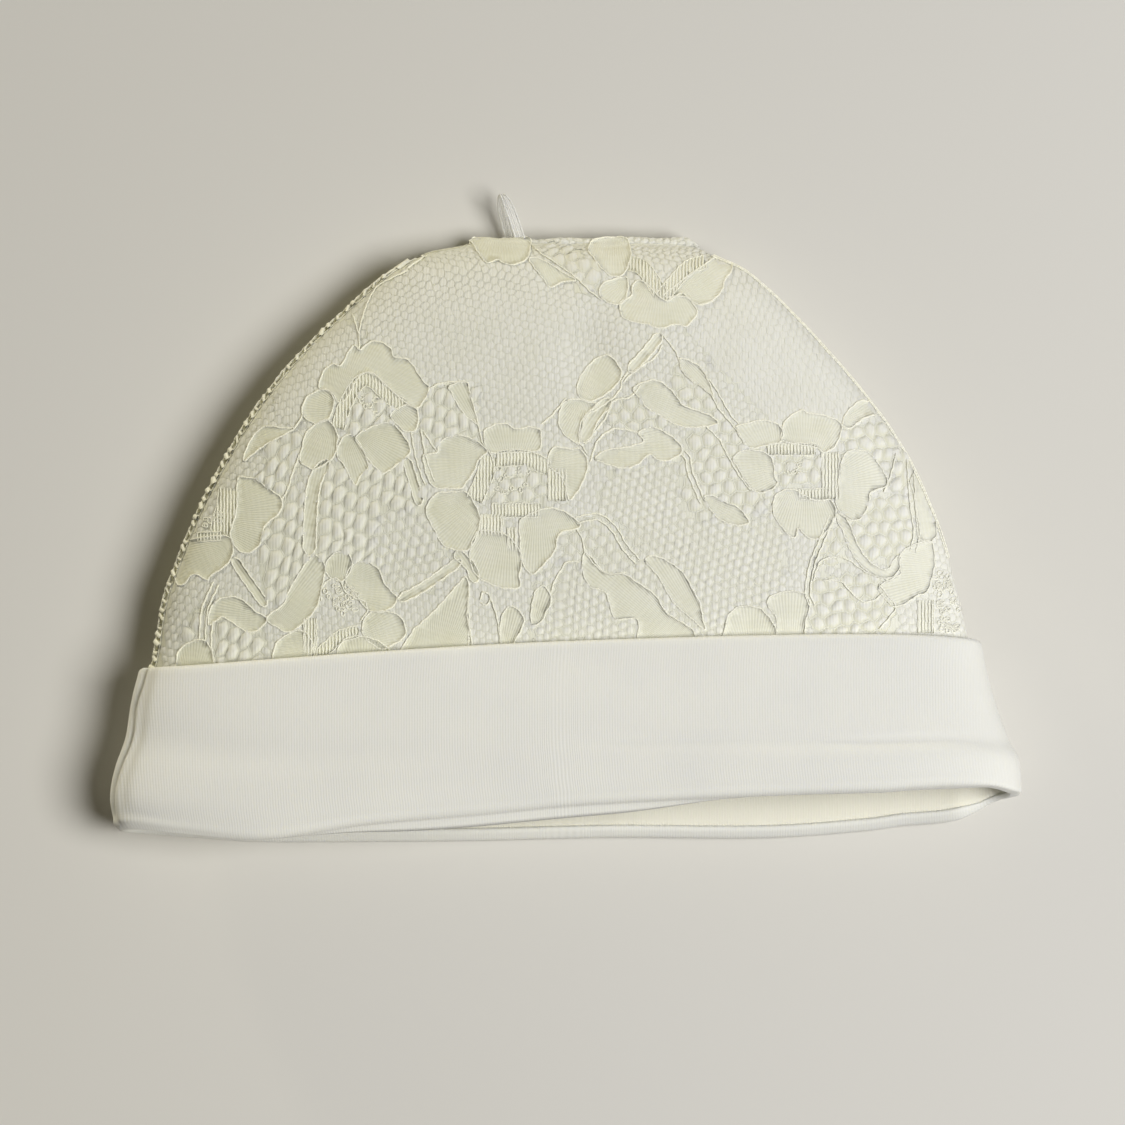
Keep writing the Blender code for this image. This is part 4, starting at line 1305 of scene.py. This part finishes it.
def ring_angles(height, shares):
    """Angles round the hat at a height, and the way walked to each.

    Shares run from the back's middle at -1 over the left fold, the front's middle at 0 and the right
    fold to the back's middle again.
    """
    walked = shares * np.where(shares >= 0, at_height(RIGHT_WALK[0], height), at_height(LEFT_WALK[0], height))
    return angle_at(np.full(shares.shape, height), walked), walked


LINING_COLUMNS = 201
LINING_ROWS = 64


def lining():
    """The jersey crown under the lace, inside and out, rolled round its lower edge."""
    shares = np.linspace(-1.0, 1.0, LINING_COLUMNS)
    heights = SEAM_HEIGHT + np.linspace(0, 1, LINING_ROWS) * (FULL_HEIGHT - SEAM_HEIGHT)
    profile = [(height, 0.0) for height in heights[::-1]]
    profile += [(SEAM_HEIGHT - 0.2 * MM, LINING_WALL * 0.5)]
    profile += [(height, LINING_WALL) for height in heights]
    rings, weaves = [], []
    for height, out in profile:
        angle, walked = ring_angles(height, shares)
        rings.append(layer_point(height, angle, out))
        weaves.append(np.stack([walked, np.full(len(walked), height)], -1))
    return ringed(rings, weaves)


# Creases close to the flap's silhouette: a sharp one and a wider second one
PINCH_DEPTH = 0.75 * MM
PINCH_INSET = 0.95 * MM
PINCH_SPREAD = 0.40 * MM
PINCH_ROUND = 0.8 * MM
PINCH_REACH = 30.0 * MM
SECOND_PINCH = 0.45
SECOND_INSET = 2.8 * MM
SECOND_SPREAD = 1.3 * MM
TAB_INSET = 0.70 * MM
TAB_FOOT = 20.0 * MM
TAB_RISE = 5.0 * MM
WAIST_DEPTH = 0.9 * MM
WAIST_HEIGHT = 14.0 * MM
WAIST_SPREAD = 6.0 * MM
CORNER_INSET = 1.7 * MM
CORNER_SPREAD = 0.35 * MM
CORNER_DEPTH = 7.0 * MM
CORNER_GROOVE = 0.85 * MM
FLAP_WAVE = 0.20 * MM
FLAP_WAVE_LENGTH = 30 * MM

# Pressed folds of the flap: across and share of CUFF_HEIGHT at both ends, depth and half width in mm
FLAP_FOLDS = (
    ("long_fold", 0.05, 0.355, 0.99, 0.245, 0.26, 1.1),
    ("left_fold", -0.93, 0.48, -0.15, 0.30, 0.20, 2.6),
    ("roll_edge", 0.62, 0.292, 0.995, 0.242, 0.36, 0.7),
)


def hill(away, reach):
    """1 at a middle, falling off smoothly over a reach to both sides."""
    return np.exp(-((away / reach) ** 2))


def flap_relief(height, angle):
    """How far the flap stands in or out: a roll at its right, waves, pressed folds and pinches."""
    front = np.maximum(0.0, np.sin(angle))
    across = signed_power(np.cos(angle), 2 / FRONT_FULLNESS)
    rise = np.maximum(0.0, height) / SKIN_HEIGHT
    below = 1 / (1 + np.exp((rise - ROLL_TOP) / (ROLL_SPREAD / 4)))
    off_the_back = np.clip(1 + 3 * np.sin(angle), 0.0, 1.0)
    roll = ROLL_DEPTH * np.maximum(0.0, across) ** 2 * below * off_the_back - waist(height, angle)
    waves = FLAP_WAVE * ripple(across * HALF_WIDTH * 0.5, height, FLAP_WAVE_LENGTH) * front
    return roll + waves - pressed(height, across) * front - pinches(height, angle, front)


def waist(height, angle):
    """How far the flap's left end is drawn in, half way up."""
    return WAIST_DEPTH * hill(height - WAIST_HEIGHT, WAIST_SPREAD) * np.maximum(0.0, -np.cos(angle)) ** 4


def pinches(height, angle, front):
    """Creased lines close to the flap's silhouette: down its left and along the brim, and at a top corner."""
    rise = np.clip(height / SKIN_HEIGHT, 0.0, 1.0)
    point, normal, _ = skin_frame(rise, angle)
    side = np.interp(rise, *edge_rows("left")), np.interp(rise, *edge_rows("right"))
    from_left = point[..., 0] + side[0] + FLAP_OUT * (1 + normal[..., 0]) - waist(height, angle)
    from_right = side[1] - point[..., 0] + FLAP_OUT * (1 - normal[..., 0])
    from_brim = height + FLAP_OUT / 2
    edge = -PINCH_ROUND * np.log(np.exp(-from_left / PINCH_ROUND) + np.exp(-from_brim / PINCH_ROUND))
    fade = np.clip((PINCH_REACH - from_left) / (0.5 * PINCH_REACH), 0.0, 1.0)
    upward = np.clip(height / WAIST_HEIGHT, 0.0, 1.0)
    inset = PINCH_INSET * (0.65 + 0.35 * upward)
    inset = inset + TAB_INSET * np.clip((height - TAB_FOOT) / TAB_RISE, 0.0, 1.0)
    groove = hill(edge - inset, PINCH_SPREAD) + SECOND_PINCH * hill(edge - SECOND_INSET, SECOND_SPREAD)
    left = PINCH_DEPTH * (0.5 + 0.5 * upward) * groove * fade
    top = np.clip((height - CUFF_HEIGHT + CORNER_DEPTH) / (2 * MM), 0.0, 1.0)
    right = CORNER_GROOVE * hill(from_right - CORNER_INSET, CORNER_SPREAD) * top
    return (left + right) * (front > 0)


def edge_rows(side):
    rises = np.linspace(0, 0.3, 13)
    return rises, section(side, rises) * HALF_WIDTH


def pressed(height, across):
    """Shallow pressed folds of the flap, each along a line from one end to the other."""
    depth = np.zeros(np.shape(height))
    for _, start, start_height, end, end_height, deep, spread in FLAP_FOLDS:
        share = np.clip((across - start) / (end - start), 0.0, 1.0)
        line = (start_height + (end_height - start_height) * share) * CUFF_HEIGHT
        ends = np.clip(np.minimum(across - start, end - across) / 0.12 + 0.3, 0.0, 1.0)
        depth += deep * MM * hill(height - line, spread * MM) * ends
    return depth


# The groove and the thin lip inside the brim, as (height, out) in millimetres, and the front's lip
# under its fold
BRIM_GROOVE = ((1.3, 0.0), (0.85, 0.05), (0.55, 0.20), (0.35, 0.46), (0.25, 0.55))
BRIM_LIP = ((0.17, 0.40), (0.08, 0.05), (-0.1, -0.18), (-0.4, -0.24), (-0.8, -0.10), (-1.15, 0.18))
LIP_DROP = 2.4 * MM
LIP_MIDDLE = -0.12
LIP_REACH = 0.42

# The steps round the brim: where the front's lip drops, and where the flap's relief grows
LIP_TURNS = np.radians((38, 50, 62, 74, 84, 92))
LIP_TURN = math.radians(62)
LIP_SPREAD = 0.30
BRIM_TURNS = np.radians((100, 110, 120, 130, 140, 150, 160, 170))
RELIEF_TURN = 1.75
RELIEF_SPREAD = 0.5


def cuff_profile():
    """The cuff's section in rows of (height, out, relief, drop), the inside first, then the outside."""
    radius = FLAP_OUT / 2
    inner_radius = (FLAP_IN - CUFF_WALL) / 2
    half_wall = CUFF_WALL / 2
    inner_top = SEAM_HEIGHT - LAYER_GAP
    edge = CUFF_HEIGHT - half_wall
    inside = [(height, CUFF_WALL, 0, 0) for height in np.linspace(0.0, inner_top, 6)]
    inside += [(height, 0.0, 0, 0) for height in np.linspace(inner_top, inner_top * 0.12, 8)]
    inside += [(height * MM, out * MM, 0, 0) for height, out in BRIM_GROOVE]
    outside = [inside[-1]] + [(height * MM, out * MM, 0, 0) for height, out in BRIM_LIP]
    for turn in LIP_TURNS:
        drop = hill(turn - LIP_TURN, LIP_SPREAD)
        outside.append((-radius * math.sin(turn), radius * (1 - math.cos(turn)), 0, drop))
    for turn in BRIM_TURNS:
        relief = min(1.0, (turn - RELIEF_TURN) / RELIEF_SPREAD)
        outside.append((-radius * math.sin(turn), radius * (1 - math.cos(turn)), relief, 0))
    outside += [(height, FLAP_OUT, 1, 0) for height in np.linspace(0.0, edge, 34)]
    for turn in np.linspace(0, math.pi, 7)[1:-1]:
        out = FLAP_IN + half_wall * (1 + math.cos(turn))
        outside.append((edge + half_wall * math.sin(turn), out, math.cos(turn / 2) ** 2, 0))
    outside += [(height, FLAP_IN, 0, 0) for height in np.linspace(edge, 0.0, 9)]
    for turn in np.linspace(0, math.pi, 5)[1:-1]:
        out = CUFF_WALL + inner_radius * (1 + math.cos(turn))
        outside.append((-inner_radius * math.sin(turn), out, 0, 0))
    return inside, outside + [inside[0]]


CUFF_COLUMNS = 281
# The shares of the way round at which the creased left end begins and ends, from its fold
CREASED = (-0.012, 0.028)
CREASED_REACH = 0.021
CREASED_COLUMNS = 56
# The walls lie close together at the mouth's right end
CORNER_SQUEEZE = 0.62
CORNER_RISE = 12.0 * MM
CORNER_START = 0.84
CORNER_SPAN = 0.14


def cuff_shares():
    """Ways walked round the cuff, close together where the left end is creased."""
    fold = -left_edge(CUFF_HEIGHT / 2) / at_height(LEFT_WALK[0], CUFF_HEIGHT / 2)
    near = fold + np.linspace(*CREASED, CREASED_COLUMNS)
    even = np.linspace(-1.0, 1.0, CUFF_COLUMNS)
    apart = np.abs(even - fold - sum(CREASED) / 2) > CREASED_REACH
    return np.sort(np.concatenate([even[apart], near]))


def cuff(rows):
    """Part of the jersey band that is turned up over the lace's lower edge."""
    shares = cuff_shares()
    rings, weaves = [], []
    climbed = 0.0
    for height, out, relief, drop in rows:
        angle, walked = ring_angles(max(0.0, height), shares)
        across = signed_power(np.cos(angle), 2 / FRONT_FULLNESS)
        bow = FLAP_BOW / CUFF_HEIGHT if height > 0 and out >= FLAP_IN else 0.0
        place = height * (1 + bow * np.maximum(0.0, np.sin(angle)) * np.minimum(1.0, 1 + np.cos(angle)))
        window = np.exp(-(((across - LIP_MIDDLE) / LIP_REACH) ** 4)) * (np.sin(angle) > 0)
        place = place - LIP_DROP * drop * window
        near_fold = np.clip((np.cos(angle) - CORNER_START) / CORNER_SPAN, 0.0, 1.0)
        squeeze = CORNER_SQUEEZE * near_fold**2 * (3 - 2 * near_fold)
        squeeze = squeeze * np.clip(1 - height / CORNER_RISE, 0.0, 1.0)
        outs = out + (FLAP_OUT - out) * squeeze
        place = np.where(place < 0, place * (1 - squeeze), place)
        if relief:
            outs = outs + relief * flap_relief(place, angle)
        points = layer_point(place, angle, outs)
        if rings:
            climbed += np.linalg.norm(points - rings[-1], axis=1).mean()
        rings.append(points)
        weaves.append(np.stack([walked, np.full(len(walked), climbed)], -1))
    return ringed(rings, weaves)


LOOP_WIDTH = 2.1 * MM
LOOP_REACH = 8.2 * MM
LOOP_SPREAD = 3.6 * MM
LOOP_ACROSS = -0.44
LOOP_LEAN = -2.6 * MM
LOOP_RISE = 2.0 * MM
LOOP_STATIONS = 60
LOOP_INSET = 0.4 * MM
LOOP_NARROWING = 0.55
# The sheer band's section, and its cords: where they run across it, and how thick they are
LOOP_THICKNESS = 0.05 * MM
LOOP_SECTION = ((1, 1), (0.33, 1.4), (-0.33, 1.4), (-1, 1), (-1, -1), (-0.33, -1.4), (0.33, -1.4), (1, -1))
LOOP_CORDS = ((-1, 0.19 * MM), (0, 0.10 * MM), (1, 0.19 * MM))


def loop_line(share):
    """The middle of the hanging ribbon: out of the crown's top fold, round, and back in lower down."""
    side = np.array([math.acos(LOOP_ACROSS), -math.acos(LOOP_ACROSS)])
    top, low = layer_point(np.full(2, SKIN_HEIGHT), side, LACE_OUT)
    base = (top + low) / 2
    base[1] = max(top[1], low[1]) + RIDGE_HEIGHT + LAYER_GAP
    turn = math.pi * share[:, None]
    reach = np.array([LOOP_LEAN, LOOP_REACH, LOOP_RISE]) * np.sin(turn)
    spread = np.array([0.5, 0.0, 1.0]) * LOOP_SPREAD / 2 * np.cos(turn)
    return base + reach + spread


def hang_loop(ribbon, edges):
    """A sheer ribbon with a cord along each edge, and its ends tucked into the crown's fold."""
    share = np.linspace(-0.04, 1.04, LOOP_STATIONS)
    line = loop_line(share)
    ahead = unit(np.gradient(line, axis=0))
    across = unit(np.array([1.0, 0, 0]) - ahead * ahead[:, :1])
    facing = np.cross(ahead, across)
    narrowing = LOOP_NARROWING * np.sin(math.pi * np.clip(share, 0, 1)) ** 6
    half = (LOOP_WIDTH - LOOP_INSET) / 2 * (1 - narrowing)[:, None]
    rings = np.stack([line + across * u * half + facing * v * LOOP_THICKNESS for u, v in LOOP_SECTION], 1)
    sides = len(LOOP_SECTION)
    weave = np.stack([np.tile([u for u, _ in LOOP_SECTION], LOOP_STATIONS), np.repeat(share * 20, sides)], -1)
    ribbon.add(rings, [grid_faces(LOOP_STATIONS, sides, closed_columns=True)], weave)
    for way, radius in LOOP_CORDS:
        beads = radius * (1 + 0.14 * np.sin(np.arange(LOOP_STATIONS) * 1.9))
        tube(edges, line + across * way * half, facing, beads, 6)


class Shading:
    """A new material and short ways to add nodes: an input is a value or the output that feeds it."""

    def __init__(self, name):
        self.material = bpy.data.materials.new(name)
        self.material.use_nodes = True
        self.tree = self.material.node_tree

    def fill(self, node, inputs):
        for key, value in inputs.items():
            if isinstance(value, bpy.types.NodeSocket):
                self.tree.links.new(value, node.inputs[key])
            else:
                node.inputs[key].default_value = value

    def shader(self, inputs):
        self.fill(self.tree.nodes["Principled BSDF"], inputs)
        return self.material

    def add(self, kind, inputs, output=0, **settings):
        node = self.tree.nodes.new("ShaderNode" + kind)
        for key, value in settings.items():
            setattr(node, key, value)
        self.fill(node, inputs)
        return node.outputs[output]

    def worked(self, operation, *values):
        return self.add("Math", dict(enumerate(values)), operation=operation)

    def ramp(self, factor, places, colours):
        colour = self.add("ValToRGB", {"Fac": factor})
        for element, place, shade in zip(colour.node.color_ramp.elements, places, colours):
            element.position = place
            element.color = (*shade, 1)
        return colour


# How fast, per metre towards the right, the cloths' colour runs from their first shade to their second:
# painted light, falling off to the left
LIGHT_PAINTED_RIGHTWARD = 3.5
CLOTH_GLOW = 0.25
CLOTH_GLOW_REACH = 1.0 * MM
FUZZ_SCALE = 2600.0


def new_material(name, dark, light, roughness, sheen, weave, depth, spread, woven_shade=0.05, foot_tone_and_shade=None):
    """A cloth: colour between two shades, and a bump from its weave.

    weave is (across, along) periods in millimetres and how much the second counts, depth the bump's
    height in millimetres, and spread the size in millimetres of the soft colour patches. A foot colour
    is for the puffs, whose weave goes along with their height: it holds the net's yellower tone and
    painted shade at their feet. Further right the colour runs to the second shade, painted light that
    falls off to the left.
    """
    nodes = Shading(name)
    place = nodes.add("TexCoord", {}, "Object")
    across, along = nodes.add("SeparateXYZ", {0: nodes.add("UVMap", {}, uv_map="weave")}).node.outputs[:2]
    ribs = nodes.worked("SINE", nodes.worked("MULTIPLY", across, 2 * math.pi / weave[0]))
    courses = nodes.worked("SINE", nodes.worked("MULTIPLY", along, 2 * math.pi / weave[1]))
    woven = nodes.worked("MULTIPLY_ADD", courses, weave[2] if len(weave) > 2 else 0.45, ribs)
    fuzz = nodes.add("TexNoise", {"Vector": place, "Scale": FUZZ_SCALE, "Detail": 2.0}, "Fac")
    relief = nodes.worked("MULTIPLY_ADD", fuzz, 0.6, woven)
    bump = nodes.add("Bump", {"Strength": 1.0, "Distance": depth * MM, "Height": relief}, "Normal")
    patches = nodes.add("TexNoise", {"Vector": place, "Scale": 1 / (spread * MM), "Detail": 3.0}, "Fac")
    mottled = nodes.worked("MULTIPLY_ADD", patches, 0.5, 0.25)
    # Painted light: further right the colour moves towards the second shade
    painted_light = nodes.worked("MULTIPLY_ADD", nodes.add("SeparateXYZ", {0: place}), LIGHT_PAINTED_RIGHTWARD, mottled)
    shade = nodes.worked("MULTIPLY_ADD", woven, woven_shade, painted_light)
    colour = nodes.ramp(shade, (0.25, 0.75), (dark, light))
    # The net's tone with painted shade at the puffs' feet, by each point's rise in its puff
    if foot_tone_and_shade:
        rising = nodes.add("MapRange", {"Value": along, "From Min": 0.05, "From Max": 0.75})
        colour = nodes.add("Mix", {"Factor": rising, 6: (*foot_tone_and_shade, 1), 7: colour}, 2, data_type="RGBA")
    return nodes.shader({
        "Base Color": colour,
        "Normal": bump,
        "Roughness": roughness,
        "Sheen Weight": sheen,
        "Sheen Roughness": 0.6,
        "Specular IOR Level": 0.25,
        "Subsurface Weight": CLOTH_GLOW,
        "Subsurface Radius": (1.0, 0.95, 0.75),
        "Subsurface Scale": CLOTH_GLOW_REACH,
    })


# The floor's colour at its left and right: a painted gradient of the light, warmer at the left
FLOOR_WARM_LIT_LEFT = (0.645, 0.629, 0.576)
FLOOR_WHITE_LIT_RIGHT = (0.650, 0.640, 0.605)


def floor_material():
    """A pale matt floor, with painted warmer light towards the left."""
    nodes = Shading("pale_floor")
    place = nodes.add("TexCoord", {}, "Object")
    noise = nodes.add("TexNoise", {"Vector": place, "Scale": 6.0}, "Fac")
    # Painted light: the colour runs warmer to the left
    across = nodes.worked("MULTIPLY_ADD", nodes.add("SeparateXYZ", {0: place}), 4.5, noise)
    colour = nodes.ramp(across, (0.0, 1.0), (FLOOR_WARM_LIT_LEFT, FLOOR_WHITE_LIT_RIGHT))
    return nodes.shader({"Base Color": colour, "Roughness": 0.95, "Specular IOR Level": 0.1})


def make_camera():
    data = bpy.data.cameras.new("camera")
    data.sensor_width = SENSOR
    data.sensor_fit = "HORIZONTAL"
    data.lens = SENSOR * VIEW_DISTANCE / (2 * CHART_MIDDLE * CHART_STEP)
    data.clip_start, data.clip_end = 0.05, 20.0
    camera = bpy.data.objects.new("camera", data)
    bpy.context.scene.collection.objects.link(camera)
    turn = Matrix(((1, 0, 0), tuple(CAMERA_UP), tuple(CAMERA_AWAY))).transposed().to_4x4()
    camera.matrix_world = Matrix.Translation(Vector(CAMERA_PLACE)) @ turn
    bpy.context.scene.camera = camera


def area_light(name, place, target, size, power, colour):
    data = bpy.data.lights.new(name, "AREA")
    data.shape = "DISK"
    data.size = size
    data.energy = power
    data.color = colour
    light = bpy.data.objects.new(name, data)
    bpy.context.scene.collection.objects.link(light)
    light.location = place
    light.rotation_euler = (Vector(target) - Vector(place)).to_track_quat("-Z", "Y").to_euler()


def make_light():
    area_light("key", (0.72, -0.22, 1.17), (0, 0, 0), 0.80, 22.1, (1.0, 0.99, 0.975))
    area_light("fill", (-0.92, 1.34, 0.07), (0, 0, 0), 0.2, 17.5, (1.0, 0.935, 0.74))
    world = bpy.data.worlds.new("room")
    bpy.context.scene.world = world
    world.use_nodes = True
    background = world.node_tree.nodes["Background"]
    background.inputs["Color"].default_value = (1.0, 0.72, 0.40, 1)
    background.inputs["Strength"].default_value = 0.015


def make_floor():
    bpy.ops.mesh.primitive_plane_add(size=6.0, location=(0, 0, 0))
    floor = bpy.context.object
    floor.name = "floor"
    floor.data.materials.append(floor_material())


def dressed(work, name, cloth, slot, *nodes):
    """A piece of the hat: it rides on the hat's body and stands for the named nodes."""
    obj = work.piece(name, cloths[cloth])
    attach(obj, BODY)
    for node in nodes:
        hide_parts(node)
    return obj


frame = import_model()
BODY = next(iter(frame["bodies"]))
bpy.context.scene.view_settings.view_transform = "Standard"

make_camera()
make_light()
make_floor()

# The cloths, as new_material takes them, and how much of the loop's shows
# The puffs' feet: the net's own yellower tone, with painted shade where the puffs meet
PUFF_FOOT_TONE_AND_SHADE = (0.69, 0.685, 0.55)
CLOTHS = (
    ("lining_jersey", (0.76, 0.755, 0.66), (0.80, 0.80, 0.73), 0.85, 0.10, (0.55, 0.7), 0.02, 9.0),
    ("lace_fill", (0.66, 0.655, 0.505), (0.785, 0.785, 0.685), 0.75, 0.06, (0.50, 1.1), 0.022, 6.0),
    ("lace_net", (0.685, 0.68, 0.545), (0.78, 0.78, 0.69), 0.75, 0.08, (0.55, 0.9, 0.3), 0.010, 5.0, 0.02),
    ("lace_puff", (0.70, 0.695, 0.60), (0.775, 0.775, 0.72), 0.80, 0.08, (0.6, 9.0), 0.016, 9.0, 0.03,
        PUFF_FOOT_TONE_AND_SHADE),
    ("lace_cord", (0.90, 0.885, 0.71), (0.93, 0.92, 0.79), 0.50, 0.05, (0.6, 2.0), 0.02, 4.0),
    # The cuff's second shade is the darker one, so it darkens towards the right: painted shade against the
    # light on its right end. Its inside is a darker, yellower copy of the jersey: painted shade inside the
    # mouth
    ("cuff_jersey", (0.80, 0.796, 0.73), (0.735, 0.738, 0.70), 0.88, 0.10, (0.52, 0.62, 0.12), 0.016, 14.0),
    ("cuff_inner_shaded", (0.74, 0.725, 0.62), (0.765, 0.752, 0.655), 0.88, 0.10, (0.52, 0.62, 0.12), 0.016, 14.0),
    ("loop_cord", (0.86, 0.86, 0.81), (0.92, 0.92, 0.88), 0.5, 0.2, (0.3, 0.4), 0.02, 3.0),
    ("loop_ribbon", (0.84, 0.84, 0.80), (0.90, 0.90, 0.87), 0.5, 0.2, (0.3, 0.4), 0.02, 3.0),
)
SHEER = (("loop_ribbon", 0.30), ("loop_cord", 0.80))
cloths = {row[0]: new_material(*row) for row in CLOTHS}
for name, alpha in SHEER:
    cloths[name].node_tree.nodes["Principled BSDF"].inputs["Alpha"].default_value = alpha

inside_rows, outside_rows = cuff_profile()
threads, puffs, ribbon, ribbon_edges = (Patchwork() for _ in range(4))
net_pieces(threads, puffs)
hang_loop(ribbon, ribbon_edges)
front_cords = laid_cords(cord_lines(), CORD_OUT, 1, 5, 0.24)
laid_cords(knot_lines(), CORD_OUT, 1, 5, 0.0, work=front_cords)
back_cords = laid_cords(cord_lines(), CORD_OUT, -1, 4, 0.0, step=5.0)
dressed(cuff(outside_rows), "cuff_outside", "cuff_jersey", "cuff_jersey", "cuff")
dressed(cuff(inside_rows), "cuff_inside", "cuff_inner_shaded", "cuff_jersey", "cuff")
dressed(lining(), "jersey_lining", "lining_jersey", "lining_jersey", "lining")
dressed(puffs, "lining_puffs", "lace_puff", "lining_jersey")
dressed(threads, "lace_net", "lace_net", "lace_thread", "lace_crown")
dressed(lace_ground(), "lace_ground", "lace_net", "lace_thread", "lace_crown")
dressed(edge_lace(), "lace_edge", "lace_cord", "lace_thread", "lace_crown")
dressed(lace_fill(1), "lace_flowers", "lace_fill", "lace_thread", "lace_crown")
dressed(lace_fill(-1), "lace_flowers_back", "lace_fill", "lace_thread", "lace_crown")
dressed(front_cords, "lace_cords", "lace_cord", "lace_thread", "lace_crown")
dressed(laid_cords(ladder_lines(), BAR_OUT, 1, 5, 0.0), "lace_ladders", "lace_cord", "lace_thread")
dressed(back_cords, "lace_cords_back", "lace_cord", "lace_thread", "lace_crown")
dressed(ribbon, "loop_band", "loop_ribbon", "loop_ribbon", "hang_loop")
dressed(ribbon_edges, "loop_edges", "loop_cord", "loop_ribbon")
